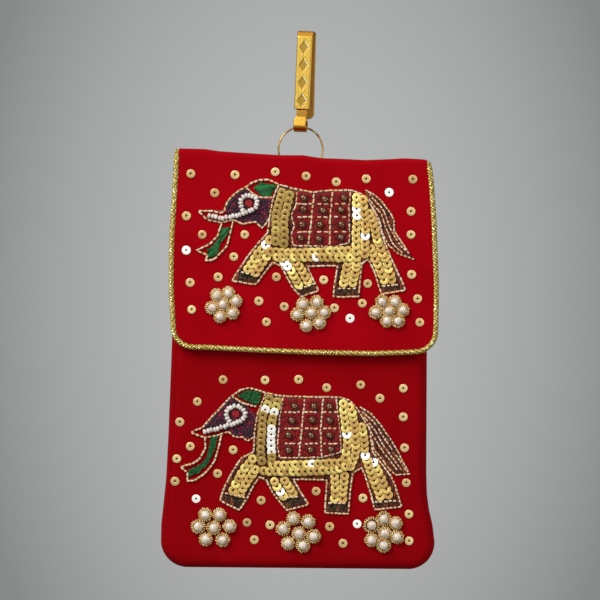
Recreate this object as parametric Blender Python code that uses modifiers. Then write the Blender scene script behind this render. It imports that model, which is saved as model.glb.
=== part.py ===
"""Phone pouch that hangs from a waist hook: gilt hook, wire ring, red cloth pocket and corded flap.

Metres, +Z up, the front towards -Y. The origin is on the hook's inner top face, where it sits on a waistband.
Everything below the hook hangs on one vertical line, HANG_X, through the hook's eye. The pouch is worked out upright,
and leans back by HANG_LEAN as it hangs, because its weight lies in front of the ring.
"""

import math

import bmesh
import bpy
from mathutils import Matrix, Vector

MM = 0.001
GAP = 0.3 * MM

# Waist hook
HOOK_SHEET = 0.8 * MM
HOOK_WIDTH = 8.0 * MM
HOOK_NECK_WIDTH = 5.8 * MM
HOOK_SLOT = 5.8 * MM
HOOK_CORNER = 0.6 * MM
HOOK_PLATE_LENGTH = 34.2 * MM
HOOK_TONGUE_LENGTH = 38.8 * MM
HOOK_TONGUE_ROUND = 2.4 * MM
HOOK_YAW = math.radians(-11)
HOOK_LEAN = math.radians(2)
EYE_DEPTH = 42.1 * MM
EYE_INNER_RADIUS = 1.95 * MM
EYE_WRAP = math.radians(300)
DIAMOND_WIDTH = 3.8 * MM
DIAMOND_HEIGHT = 5.4 * MM
DIAMOND_PITCH = 8.0 * MM
DIAMOND_FIRST = 5.9 * MM
DIAMOND_DEPTH = 0.4 * MM
DIAMOND_COUNT = 4
CUT_MARGIN = 1.0 * MM

# Wire ring, hanging in the eye
RING_RADIUS = 10.0 * MM
RING_WIRE_RADIUS = 0.55 * MM
RING_SAG_IN_EYE = 0.5 * MM

# Cloth loop that ties the pouch to the ring
TAB_WIDTH = 5.5 * MM
TAB_CLOTH = 0.7 * MM
TAB_HOLE_RADIUS = 1.0 * MM
TAB_LENGTH = 22.0 * MM
HANG_LEAN = math.radians(3.3)

# Pocket: outline seen from the front, from the hanging line
TOP_SLOPE = math.radians(3)
TOP_MIDDLE_X = 2.4 * MM
TOP_DROP = 12.4 * MM
BODY_WIDTH = 122.6 * MM
BODY_HEIGHT = 185.4 * MM
BODY_LEFT_OF_LINE = 0.9 * MM
BODY_TAPER_LEFT = 7.7 * MM
BODY_TAPER_RIGHT = 4.1 * MM
BODY_WAIST_TAPER = 4.5 * MM
BODY_WAIST_HEIGHT = 39.0 * MM
BODY_CORNER = 10.0 * MM
MOUTH_DROP = 2.4 * MM

# Pocket: layers from the back to the front
BACK_BEHIND_RING = TAB_HOLE_RADIUS + TAB_CLOTH + GAP
CLOTH = 1.2 * MM
EDGE_ROLL = 5.0 * MM
LINING = 0.5 * MM
POCKET_DEPTH = 8.0 * MM

# Flap
FOLD_THICKNESS = 1.3 * MM
FLAP_STANDOFF = 2.6 * MM
FLAP_CLOTH = 1.0 * MM
FLAP_NARROWER = 2.3 * MM
FLAP_RIGHT_OF_LINE = 1.85 * MM
FLAP_TAPER_LEFT = 2.9 * MM
FLAP_TAPER_RIGHT = 3.2 * MM
FLAP_LENGTH = 89.6 * MM
FLAP_CORNER = 8.5 * MM
PIPING_RADIUS = 1.3 * MM

# Press stud
STUD_RADIUS = 5.0 * MM
STUD_DISC = 0.7 * MM
SOCKET_DISC = 1.0 * MM
STUD_BALL_RADIUS = 1.9 * MM
STUD_FROM_FLAP_EDGE = 14.0 * MM

# Beadwork. The drawings further down are in drawn millimetres.
DRAWN_MM = 1.0 * MM
UPPER_LEFT_OF_MIDDLE = 2.1 * MM
UPPER_ABOVE_EDGE = 51.5 * MM
LOWER_LEFT_OF_MIDDLE = 3.9 * MM
LOWER_ABOVE_EDGE = 57.3 * MM
WIRE_RADIUS = 0.6 * MM
FIELD_HEIGHT = 1.0 * MM
THREAD_HEIGHT = 0.6 * MM
SEQUIN_RADIUS = 2.15 * MM
SEQUIN_PROUD = 0.4 * MM
SEQUIN_SUNK = 0.2 * MM
WHITE_BEAD_RADIUS = 0.95 * MM
GLASS_BEAD_RADIUS = 1.3 * MM
GRID_WIRE_RADIUS = 0.48 * MM
GRID_FROM_LEFT = 4.0
GRID_FROM_RIGHT = 1.6
EYE_CENTRE_RADIUS = 1.8 * MM
PEARL_RADIUS = 1.95 * MM
COIL_RING_RADIUS = 2.9 * MM
COIL_RING_HEIGHT = 1.0 * MM
COIL_RING_SPREAD = math.radians(55)
HOOF_MARGIN = 1.8 * MM
FIELD_INSET = WIRE_RADIUS + GAP

# Places that follow from the sizes above
EYE_OUTER_RADIUS = EYE_INNER_RADIUS + HOOK_SHEET
HANG_X = -EYE_DEPTH * math.sin(HOOK_LEAN)
RING_TOP_Z = -EYE_DEPTH * math.cos(HOOK_LEAN) - RING_SAG_IN_EYE
RING_BOTTOM_Z = RING_TOP_Z - 2 * RING_RADIUS
FOLD_Z = RING_TOP_Z - TOP_DROP - FOLD_THICKNESS / 2
CLOTH_TOP_Z = FOLD_Z - FOLD_THICKNESS / 2 - GAP
BODY_BOTTOM_Z = RING_TOP_Z - TOP_DROP - BODY_HEIGHT
FLAP_BOTTOM_Z = RING_TOP_Z - TOP_DROP - FLAP_LENGTH
BACK_Y = -BACK_BEHIND_RING
POCKET_BACK_Y = BACK_Y - CLOTH - GAP - LINING
POCKET_FRONT_Y = POCKET_BACK_Y - POCKET_DEPTH
FRONT_Y = POCKET_FRONT_Y - LINING - GAP - CLOTH
SEAM_Y = (BACK_Y + FRONT_Y) / 2
FLAP_BACK_Y = FRONT_Y - FLAP_STANDOFF
FLAP_CLOTH_Y = FLAP_BACK_Y - LINING - GAP
FLAP_FRONT_Y = FLAP_CLOTH_Y - FLAP_CLOTH
BACK_CREASE_Y = BACK_Y - CLOTH / 2
FRONT_CREASE_Y = (FLAP_BACK_Y + FLAP_FRONT_Y) / 2
BODY_LEFT = -BODY_WIDTH / 2 - BODY_LEFT_OF_LINE
BODY_RIGHT = BODY_WIDTH / 2 - BODY_LEFT_OF_LINE
FLAP_WIDTH = BODY_WIDTH - FLAP_NARROWER
FLAP_LEFT = FLAP_RIGHT_OF_LINE - FLAP_WIDTH / 2
FLAP_RIGHT = FLAP_RIGHT_OF_LINE + FLAP_WIDTH / 2
UPPER_ELEPHANT = (FLAP_RIGHT_OF_LINE - UPPER_LEFT_OF_MIDDLE, FLAP_BOTTOM_Z + UPPER_ABOVE_EDGE)
LOWER_ELEPHANT = (-BODY_LEFT_OF_LINE - LOWER_LEFT_OF_MIDDLE, BODY_BOTTOM_Z + LOWER_ABOVE_EDGE)

# Beadwork outlines, read by eye in drawn millimetres (across, up) from the middle of each elephant
UPPER = {
    "body": [
        (-9.5, 25.2), (-1.8, 22.9), (5.9, 21.6), (12.6, 22.5), (23.4, 22.5), (27.9, 20.7), (31.2, 17.0),
        (33.6, 12.2), (36.8, 2.1), (40.8, -8.0), (45.2, -17.2), (47.2, -22.2), (36.5, -24.0), (34.8, -18.4),
        (33.2, -13.6), (30.6, -8.0), (27.6, -10.2), (26.8, -17.6), (26.4, -25.2), (14.9, -25.2), (15.5, -19.2),
        (16.9, -11.2), (3.1, -11.4), (4.7, -15.2), (8.3, -22.3), (0.6, -25.2), (-3.8, -20.4), (-6.2, -15.6),
        (-8.6, -11.2), (-12.3, -9.7), (-16.1, -14.6), (-19.9, -19.8), (-30.6, -17.9), (-27.0, -12.4),
        (-23.8, -7.5), (-19.4, -2.0), (-14.4, 3.6), (-13.3, 12.6), (-11.9, 19.4),
    ],
    "forehead": [
        (-34.0, 13.1), (-32.9, 16.7), (-30.6, 19.8), (-27.0, 22.7), (-24.3, 23.9), (-21.6, 25.9),
        (-18.9, 27.0), (-14.4, 27.4), (-9.5, 25.2),
    ],
    "crown_line": [(-24.3, 23.9), (-20.7, 20.7), (-18.0, 19.4), (-11.9, 19.4)],
    "jaw": [(-29.9, 9.5), (-25.7, 7.4), (-20.0, 8.6), (-17.1, 5.4), (-13.5, 10.3)],
    "tusk": [
        (-34.0, 13.1), (-36.0, 12.4), (-39.1, 13.3), (-45.5, 13.3), (-41.9, 9.5), (-35.1, 8.1), (-29.9, 9.5),
    ],
    "trunk": [
        (-35.1, 8.1), (-36.9, 2.2), (-40.1, -1.4), (-46.6, -4.5), (-41.4, -6.5), (-42.6, -9.2), (-38.5, -8.4),
        (-32.9, -2.7), (-31.5, 2.2), (-29.9, 9.5),
    ],
    "blanket": [
        (-1.4, 20.9), (-1.8, 15.8), (-4.0, 11.7), (-2.5, 6.3), (-4.0, 2.7), (-3.1, -2.2), (15.8, -2.7),
        (22.1, -0.9), (22.1, 4.5), (21.8, 15.8), (22.5, 20.3), (13.5, 20.6), (5.9, 20.0),
    ],
    "columns": [[(6.1, 18.9), (5.0, 9.0), (3.8, -1.4)], [(14.2, 19.6), (13.5, 9.0), (13.3, -1.8)]],
    "rows": [16.4, 10.6, 3.9],
    "glass_beads": [
        (1.4, 18.4), (11.0, 18.2), (19.4, 18.4), (1.3, 13.7), (10.3, 13.5), (18.3, 13.7), (0.9, 7.3),
        (8.9, 7.3), (18.5, 7.3), (0.2, 1.3), (8.3, 0.9), (18.2, 1.5),
    ],
    "white_beads": [
        (-40.5, 11.2), (-35.1, 10.1), (-30.2, 10.8), (-24.8, 12.4), (-21.6, 13.7), (-19.6, 15.3),
        (-19.1, 17.6), (-20.4, 19.6), (-22.6, 20.5), (-25.0, 19.8), (-26.6, 18.0), (-26.6, 15.7),
    ],
    "eye": (-22.9, 16.7),
    "tail": [
        [(32.9, 20.6), (36.4, 17.8), (40.0, 12.9), (42.2, 8.9), (42.6, 4.9), (46.0, -1.9), (50.0, -6.3)],
        [(33.2, 18.6), (36.8, 13.7), (39.2, 8.9), (40.4, 4.5), (44.0, -2.7), (50.9, -8.1)],
    ],
    "hooves": [
        [(-26.8, -14.0), (-18.4, -15.8), (-20.6, -18.4), (-28.0, -17.2)],
        [(-2.4, -19.6), (5.2, -18.6), (6.6, -21.4), (1.0, -23.7)],
        [(16.6, -20.4), (25.4, -20.4), (25.2, -24.0), (16.2, -24.0)],
        [(36.0, -18.8), (43.6, -17.8), (45.4, -21.4), (37.2, -22.6)],
    ],
}
LOWER = {
    "body": [
        (-10.8, 21.2), (-3.6, 19.8), (9.0, 19.4), (22.7, 19.2), (26.9, 17.8), (30.3, 14.0), (35.8, 5.0),
        (37.2, -5.3), (41.3, -10.8), (45.5, -16.3), (47.5, -21.1), (50.3, -30.2), (38.2, -31.5), (36.5, -24.6),
        (34.4, -17.7), (32.4, -12.4), (28.3, -14.9), (27.5, -19.8), (26.2, -33.5), (15.8, -32.9),
        (16.2, -25.2), (16.7, -18.0), (1.4, -17.7), (4.1, -22.5), (8.3, -29.2), (-1.5, -31.8), (-7.7, -23.9),
        (-10.8, -17.8), (-13.9, -16.7), (-16.7, -21.1), (-19.4, -26.6), (-22.9, -31.8), (-31.5, -27.3),
        (-29.7, -21.8), (-26.3, -14.9), (-21.8, -8.1), (-16.2, -5.4), (-16.0, 3.7), (-14.6, 11.9),
    ],
    "forehead": [
        (-39.4, 5.6), (-36.0, 9.5), (-31.1, 14.7), (-26.3, 19.8), (-22.2, 22.6), (-18.0, 23.6),
        (-10.8, 21.2),
    ],
    "crown_line": [(-26.3, 19.8), (-20.8, 16.4), (-14.6, 14.9)],
    "jaw": [(-27.7, 3.8), (-24.9, 1.3), (-21.2, 1.3), (-19.1, -0.5), (-16.0, 1.4)],
    "tusk": [(-39.4, 5.6), (-44.6, 3.3), (-38.2, 1.0), (-33.2, 2.0), (-27.7, 3.8)],
    "trunk": [
        (-38.2, 1.0), (-38.0, -3.9), (-40.8, -8.7), (-44.2, -10.8), (-49.4, -12.2), (-45.9, -14.9),
        (-46.4, -18.7), (-42.8, -18.2), (-38.0, -14.9), (-34.2, -10.1), (-32.5, -4.6), (-30.8, 2.6),
    ],
    "blanket": [
        (-3.2, 17.8), (-4.6, 10.6), (-5.6, -3.2), (-4.7, -8.1), (8.1, -7.9), (13.8, -7.9), (22.9, -5.6),
        (22.7, 3.7), (21.7, 10.6), (20.9, 17.6), (9.0, 17.8),
    ],
    "columns": [[(6.5, 16.7), (5.2, 3.7), (4.1, -6.8)], [(14.8, 16.7), (13.8, 3.7), (14.1, -6.8)]],
    "rows": [12.6, 5.2, -1.6],
    "glass_beads": [
        (2.1, 15.4), (10.8, 15.4), (17.8, 15.3), (0.8, 9.0), (10.0, 9.2), (17.8, 9.0), (-0.7, 2.4),
        (9.6, 2.2), (17.8, 2.2), (-0.6, -4.5), (9.3, -4.3), (18.4, -4.1),
    ],
    "white_beads": [
        (-38.2, 3.8), (-32.9, 5.2), (-27.4, 6.8), (-22.1, 8.6), (-20.2, 10.6), (-20.5, 13.1), (-22.3, 14.8),
        (-24.8, 15.5), (-27.2, 14.6), (-28.6, 12.6), (-28.4, 10.3),
    ],
    "eye": (-24.4, 11.9),
    "tail": [
        [(35.0, 13.2), (41.3, 6.4), (45.5, 0.2), (48.2, -4.6), (52.3, -12.4), (54.5, -15.5)],
        [(35.6, 10.9), (38.6, 5.0), (41.4, -1.8), (45.0, -8.1), (49.1, -13.1), (53.7, -16.4)],
    ],
    "hooves": [
        [(-29.4, -23.8), (-19.9, -26.0), (-22.6, -29.6), (-29.6, -26.6)],
        [(-4.2, -26.0), (4.0, -25.4), (6.2, -28.4), (-0.9, -30.5)],
        [(17.2, -28.4), (25.3, -28.4), (25.0, -32.0), (17.0, -31.7)],
        [(37.6, -27.0), (47.6, -26.2), (48.7, -28.9), (38.6, -30.0)],
    ],
}

# Flowers: the middle pearl from the elephant's middle, then the six outer pearls from the middle one
FLOWERS = {
    "upper_flower_1": [(-34.7, -28.5), (-2.7, 4.1), (2.6, 5.1), (5.9, 1.5), (4.3, -3.9), (-1.2, -5.5), (-4.7, -1.5)],
    "upper_flower_2": [(5.0, -32.2), (-3.8, 3.8), (2.5, 4.7), (5.8, 0.1), (3.6, -4.6), (-2.2, -5.8), (-6.3, -0.9)],
    "upper_flower_3": [(39.8, -31.4), (-3.0, 4.1), (2.6, 4.1), (6.3, 0.3), (4.1, -4.6), (-0.9, -4.6), (-5.9, -0.7)],
    "lower_flower_1": [(-34.4, -39.7), (-3.8, 5.9), (2.6, 5.9), (7.2, 0.7), (4.0, -5.5), (-3.6, -5.2), (-6.9, 0.6)],
    "lower_flower_2": [(4.0, -42.3), (-2.5, 6.8), (4.2, 5.4), (6.6, -1.2), (1.8, -5.4), (-4.9, -4.3), (-7.1, 2.2)],
    "lower_flower_3": [(42.7, -42.1), (-0.4, 6.5), (4.8, 4.5), (5.5, -1.8), (-0.5, -5.5), (-5.9, -3.1), (-5.9, 3.6)],
}

# Single sequins, from the elephant's middle
UPPER_SEQUINS = [
    (-48.9, 30.0), (-29.1, 29.5), (-11.1, 30.8), (2.7, 28.9), (16.2, 26.3), (29.6, 27.7), (50.5, 27.5),
    (-38.2, 21.4), (39.9, 21.6), (49.7, 13.1), (-50.9, 11.1), (-43.8, 2.7), (-24.8, 2.7), (49.7, 2.7),
    (-51.0, -4.3), (-29.7, -7.2), (50.0, -15.2), (-36.7, -16.3), (-10.6, -16.3), (10.6, -17.6),
    (-49.3, -18.8), (30.3, -19.3), (52.7, -26.1), (-18.5, -27.1), (27.9, -28.1), (-7.1, -29.6),
    (15.4, -30.2), (-48.6, -30.9), (22.4, -34.9), (-15.1, -36.5), (53.7, -36.7),
]
LOWER_SEQUINS = [
    (-30.1, 27.2), (-11.2, 27.0), (3.9, 27.3), (16.5, 23.6), (31.8, 24.9), (51.0, 23.3), (40.5, 18.8),
    (-41.7, 17.3), (51.0, 10.4), (-49.6, 8.1), (-44.9, -2.9), (51.6, -3.6), (-25.6, -4.5), (-51.0, -8.5),
    (-32.6, -15.2), (-51.8, -18.7), (52.4, -19.4), (11.8, -23.2), (32.9, -26.3), (-42.3, -26.6),
    (-13.0, -27.3), (53.6, -33.6), (-19.4, -37.4), (30.3, -38.0), (-9.0, -38.5), (17.9, -39.2),
    (-16.1, -45.2), (53.7, -45.7), (23.9, -46.8),
]


def clear_scene():
    """An empty scene to build in."""
    for found in list(bpy.data.objects):
        bpy.data.objects.remove(found, do_unlink=True)


def new_collection(name):
    collection = bpy.data.collections.new(name)
    bpy.context.scene.collection.children.link(collection)
    return collection


def finish(name, colour, roughness, metallic):
    """One plain material; the finer looks belong elsewhere."""
    material = bpy.data.materials.new(name)
    material.use_nodes = True
    shader = material.node_tree.nodes["Principled BSDF"]
    shader.inputs["Base Color"].default_value = (*colour, 1)
    shader.inputs["Roughness"].default_value = roughness
    shader.inputs["Metallic"].default_value = metallic
    material.diffuse_color = (*colour, 1)
    return material


def top_at(x, height):
    """Height at x of a line that slants like the pouch's top, and has the given height in the middle of it."""
    return height - math.tan(TOP_SLOPE) * (x - TOP_MIDDLE_X)


def shifted(corners, distances):
    """Each side of a counter-clockwise outline moved inwards by its own distance. Side 0 starts at corner 0."""
    moved = []
    count = len(corners)
    sides = []
    for i in range(count):
        start = Vector(corners[i])
        along = (Vector(corners[(i + 1) % count]) - start).normalized()
        inwards = Vector((-along.y, along.x))
        sides.append((start + inwards * distances[i], along))
    for i in range(count):
        (p, d), (q, e) = sides[i - 1], sides[i]
        turn = d.x * e.y - d.y * e.x
        if abs(turn) < 1e-6:
            moved.append(tuple(q))
            continue
        reach = ((q - p).x * e.y - (q - p).y * e.x) / turn
        moved.append(tuple(p + d * reach))
    return moved


def inset(points, distance):
    """A whole outline moved inwards by one distance, whichever way round it was read."""
    area = sum(a[0] * b[1] - b[0] * a[1] for a, b in zip(points, points[1:] + points[:1]))
    ordered = points if area > 0 else points[::-1]
    return shifted(ordered, [distance] * len(ordered))


def rounded(corners, radii, steps=5):
    """An outline whose corners become arcs; a radius of 0 leaves a corner sharp."""
    outline = []
    count = len(corners)
    for i in range(count):
        here = Vector(corners[i])
        if radii[i] <= 0:
            outline.append(tuple(here))
            continue
        back = (Vector(corners[i - 1]) - here).normalized()
        forward = (Vector(corners[(i + 1) % count]) - here).normalized()
        half = back.angle(forward) / 2
        centre = here + (back + forward).normalized() * radii[i] / math.sin(half)
        first = here + back * radii[i] / math.tan(half) - centre
        sweep = math.pi - 2 * half
        for step in range(steps + 1):
            angle = sweep * step / steps
            outline.append(tuple(centre + Matrix.Rotation(angle, 2) @ first))
    return outline


def placed(points, middle):
    """Outline points in drawn millimetres, moved to their place in metres."""
    return [(middle[0] + x * DRAWN_MM, middle[1] + z * DRAWN_MM) for x, z in points]


def mesh_of_curve(curve, name):
    """The evaluated mesh of a curve, with its loose caps welded on; the curve itself is removed."""
    holder = bpy.data.objects.new(name, curve)
    bpy.context.scene.collection.objects.link(holder)
    bpy.context.view_layer.update()
    evaluated = holder.evaluated_get(bpy.context.evaluated_depsgraph_get())
    mesh = bpy.data.meshes.new_from_object(evaluated)
    bpy.data.objects.remove(holder, do_unlink=True)
    bpy.data.curves.remove(curve)
    bm = bmesh.new()
    bm.from_mesh(mesh)
    bmesh.ops.remove_doubles(bm, verts=bm.verts, dist=0.001 * MM)
    bmesh.ops.recalc_face_normals(bm, faces=bm.faces)
    bm.to_mesh(mesh)
    bm.free()
    return mesh


def poly_spline(curve, points, closed):
    spline = curve.splines.new("POLY")
    spline.points.add(len(points) - 1)
    for place, point in zip(spline.points, points):
        place.co = (*point, 1)
    spline.use_cyclic_u = closed


def plate_mesh(name, loops, back_y, front_y):
    """A flat plate that faces the front, filled from its outline loops; a loop inside another is a hole."""
    curve = bpy.data.curves.new(name, "CURVE")
    curve.dimensions = "2D"
    curve.fill_mode = "BOTH"
    curve.extrude = (back_y - front_y) / 2
    for loop in loops:
        poly_spline(curve, [(x, z, 0) for x, z in loop], True)
    mesh = mesh_of_curve(curve, name)
    mesh.transform(Matrix.Translation((0, (back_y + front_y) / 2, 0)) @ Matrix.Rotation(math.pi / 2, 4, "X"))
    return mesh


def wire_mesh(name, points, radius, closed=False, sides=6):
    """A round wire along 3D points, with filled ends."""
    curve = bpy.data.curves.new(name, "CURVE")
    curve.dimensions = "3D"
    curve.fill_mode = "FULL"
    curve.bevel_depth = radius
    curve.bevel_resolution = sides // 2 - 2
    curve.use_fill_caps = True
    poly_spline(curve, points, closed)
    return mesh_of_curve(curve, name)


def side_plate_mesh(name, loops, width):
    """A strip bent in the plane that shows from the side: outline loops of (y, z), as wide as given along X."""
    mesh = plate_mesh(name, [[(y, z) for y, z in loop] for loop in loops], width / 2, -width / 2)
    mesh.transform(Matrix.Rotation(math.pi / 2, 4, "Z"))
    return mesh


def ball_mesh(name, centre, radius, segments=8, rings=6):
    bm = bmesh.new()
    bmesh.ops.create_uvsphere(bm, u_segments=segments, v_segments=rings, radius=radius)
    bmesh.ops.rotate(bm, verts=bm.verts, matrix=Matrix.Rotation(math.pi / 2, 3, "X"))
    bmesh.ops.translate(bm, verts=bm.verts, vec=centre)
    mesh = bpy.data.meshes.new(name)
    bm.to_mesh(mesh)
    bm.free()
    return mesh


def disc_mesh(name, centre, radius, back_y, front_y, sides=8):
    """A short round disc that faces the front."""
    bm = bmesh.new()
    depth = back_y - front_y
    bmesh.ops.create_cone(bm, cap_ends=True, segments=sides, radius1=radius, radius2=radius, depth=depth)
    bmesh.ops.rotate(bm, verts=bm.verts, matrix=Matrix.Rotation(math.pi / 2, 3, "X"))
    bmesh.ops.translate(bm, verts=bm.verts, vec=(centre[0], (back_y + front_y) / 2, centre[1]))
    mesh = bpy.data.meshes.new(name)
    bm.to_mesh(mesh)
    bm.free()
    return mesh


def joined(name, meshes):
    """Several meshes as one, each still a closed body of its own."""
    bm = bmesh.new()
    for mesh in meshes:
        bm.from_mesh(mesh)
    whole = bpy.data.meshes.new(name)
    bm.to_mesh(whole)
    bm.free()
    return whole


def add_piece(name, mesh, material, pivot=None, at_hang=True):
    """A named piece of the pouch, carried by the empty on its joint's axis."""
    piece = bpy.data.objects.new(name, mesh)
    parts.objects.link(piece)
    mesh.materials.clear()
    mesh.materials.append(material)
    mesh.shade_smooth()
    mesh.set_sharp_from_angle(angle=math.radians(35))
    if at_hang:
        piece.location.x = HANG_X
    if pivot is not None:
        piece.parent = pivot
        piece.matrix_parent_inverse = pivot.matrix_world.inverted()
    return piece


def add_pivot(name, place, parent=None):
    """An empty on a joint's axis, which carries the pieces that turn about it."""
    pivot = bpy.data.objects.new(name, None)
    parts.objects.link(pivot)
    pivot.empty_display_size = RING_RADIUS / 2
    pivot.location = place
    bpy.context.view_layer.update()
    if parent is not None:
        pivot.parent = parent
        pivot.matrix_parent_inverse = parent.matrix_world.inverted()
    bpy.context.view_layer.update()
    return pivot


def combine(piece, mesh, operation, crossing=False):
    """Joins a helper mesh to a piece, or cuts it away. Crossing helpers are resolved among themselves too."""
    helper = bpy.data.objects.new(f"{piece.name}_{operation.lower()}", mesh)
    cutters.objects.link(helper)
    helper.hide_render = True
    helper.display_type = "WIRE"
    helper.location = piece.location
    helper.parent = piece.parent
    helper.matrix_parent_inverse = piece.matrix_parent_inverse
    modifier = piece.modifiers.new(operation.title(), "BOOLEAN")
    modifier.operation = operation
    modifier.object = helper
    modifier.solver = "EXACT"
    modifier.use_self = crossing


def arc(centre, radius, first, last, steps):
    """Points on an arc, from one angle to another."""
    angles = [first + (last - first) * i / steps for i in range(steps + 1)]
    return [(centre[0] + radius * math.cos(a), centre[1] + radius * math.sin(a)) for a in angles]


def hook_side(offset):
    """One face of the bent strip seen from the side, as (y, z), a distance outside its inner face."""
    plate_y = -EYE_INNER_RADIUS
    tongue_y = plate_y + HOOK_SLOT
    bend = HOOK_CORNER
    quarter = math.pi / 2
    path = [(tongue_y + offset, -HOOK_TONGUE_LENGTH)]
    path += arc((tongue_y - bend, -bend), bend + offset, 0, quarter, 3)
    path += arc((plate_y + bend, -bend), bend + offset, quarter, 2 * quarter, 3)
    eye = (0, -EYE_DEPTH)
    path += arc(eye, EYE_INNER_RADIUS + offset, 2 * quarter, 2 * quarter + EYE_WRAP, 20)
    return path


def hook_blank():
    """The strip as wide as the hook, before its neck, its tongue's round end and its diamonds are cut."""
    loop = hook_side(0) + hook_side(HOOK_SHEET)[::-1]
    return side_plate_mesh("hook_blank", [loop], HOOK_WIDTH)


def neck_cutters():
    """Two blocks that narrow the strip from the end of the plate down to the eye, clear of the tongue."""
    bm = bmesh.new()
    depth = EYE_OUTER_RADIUS + HOOK_SLOT / 2
    height = EYE_OUTER_RADIUS * 2 + EYE_DEPTH - HOOK_PLATE_LENGTH
    width = HOOK_WIDTH
    for side in (-1, 1):
        cube = bmesh.ops.create_cube(bm, size=1)["verts"]
        bmesh.ops.scale(bm, verts=cube, vec=(width, 2 * EYE_OUTER_RADIUS + GAP, height))
        x = side * (HOOK_NECK_WIDTH / 2 + width / 2)
        z = -HOOK_PLATE_LENGTH - height / 2
        bmesh.ops.translate(bm, verts=cube, vec=(x, 0, z))
    mesh = bpy.data.meshes.new("neck_cutters")
    bm.to_mesh(mesh)
    bm.free()
    return mesh


def tongue_cutter():
    """What lies outside the tongue's round end: a block with a round-cornered window."""
    half = HOOK_WIDTH / 2
    wide = half + CUT_MARGIN
    low = -HOOK_TONGUE_LENGTH
    start = low + HOOK_TONGUE_ROUND
    inner = half - HOOK_TONGUE_ROUND
    quarter = math.pi / 2
    block = [(-wide, low - CUT_MARGIN), (wide, low - CUT_MARGIN), (wide, start), (half, start)]
    block += arc((inner, start), HOOK_TONGUE_ROUND, 0, -quarter, 4)[1:]
    block += arc((-inner, start), HOOK_TONGUE_ROUND, -quarter, -2 * quarter, 4)
    block += [(-wide, start)]
    return plate_mesh("tongue_cutter", [block], HOOK_SLOT, HOOK_SLOT - EYE_INNER_RADIUS - CUT_MARGIN)


def diamond_cutter():
    """Four flat pyramids whose points press into the front of the plate."""
    bm = bmesh.new()
    face_y = -EYE_OUTER_RADIUS
    for i in range(DIAMOND_COUNT):
        cone = bmesh.ops.create_cone(
            bm, cap_ends=True, segments=4, radius1=1, radius2=0, depth=2 * DIAMOND_DEPTH
        )["verts"]
        bmesh.ops.rotate(bm, verts=cone, matrix=Matrix.Rotation(-math.pi / 2, 3, "X"))
        bmesh.ops.scale(bm, verts=cone, vec=(DIAMOND_WIDTH, 1, DIAMOND_HEIGHT))
        z = -DIAMOND_FIRST - i * DIAMOND_PITCH
        bmesh.ops.translate(bm, verts=cone, vec=(0, face_y, z))
    mesh = bpy.data.meshes.new("diamond_cutter")
    bm.to_mesh(mesh)
    bm.free()
    return mesh


def make_hook():
    """One strip of gilt brass, stamped, folded over at the top and curled into an eye at the bottom."""
    turn = Matrix.Rotation(HOOK_LEAN, 4, "Y") @ Matrix.Rotation(HOOK_YAW, 4, "Z")
    meshes = [hook_blank(), neck_cutters(), tongue_cutter(), diamond_cutter()]
    for mesh in meshes:
        mesh.transform(turn)
    hook = add_piece("waist_hook", meshes[0], gilt, at_hang=False)
    for mesh in meshes[1:]:
        combine(hook, mesh, "DIFFERENCE")


def make_ring():
    """Brass wire bent into a ring."""
    centre = (RING_TOP_Z + RING_BOTTOM_Z) / 2
    points = []
    for x, z in arc((0, centre), RING_RADIUS, 0, 2 * math.pi, 36)[:-1]:
        points.append((x, 0, z))
    add_piece("wire_ring", wire_mesh("wire_ring", points, RING_WIRE_RADIUS, True, 8), brass, ring_pivot)


def make_tab():
    """Cloth strip folded round the ring; its two ends lie together on the back panel and are sewn there."""
    outer = TAB_HOLE_RADIUS + TAB_CLOTH
    front = BACK_Y + GAP
    back = front + 2 * TAB_CLOTH
    low = RING_BOTTOM_Z - TAB_LENGTH
    ring = (0, RING_BOTTOM_Z)
    edge = [(front, low), (back, low), (back, RING_BOTTOM_Z - outer - TAB_CLOTH)]
    edge += arc(ring, outer, -math.pi / 3, math.pi, 10)
    hole = arc(ring, TAB_HOLE_RADIUS, 0, 2 * math.pi, 12)[:-1]
    add_piece("ring_tab", side_plate_mesh("ring_tab", [edge, hole], TAB_WIDTH), red_cloth, pouch_pivot)


def body_corners(top_z):
    """The pocket's corners from the top left round the bottom, its top at the given height in the middle."""
    left = BODY_LEFT + BODY_TAPER_LEFT
    right = BODY_RIGHT - BODY_TAPER_RIGHT
    return [
        (left, top_at(left, top_z)),
        (BODY_LEFT, BODY_BOTTOM_Z),
        (BODY_RIGHT, BODY_BOTTOM_Z),
        (BODY_RIGHT - BODY_WAIST_TAPER, BODY_BOTTOM_Z + BODY_WAIST_HEIGHT),
        (right, top_at(right, top_z)),
    ]


def body_outline(top_z, inwards):
    """The pocket's outline, drawn in by a distance on every side but its top."""
    corners = shifted(body_corners(top_z), [inwards] * 4 + [0])
    corner = max(BODY_CORNER - inwards, 1 * MM)
    return rounded(corners, [0, corner, corner, 0, 0])


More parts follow.
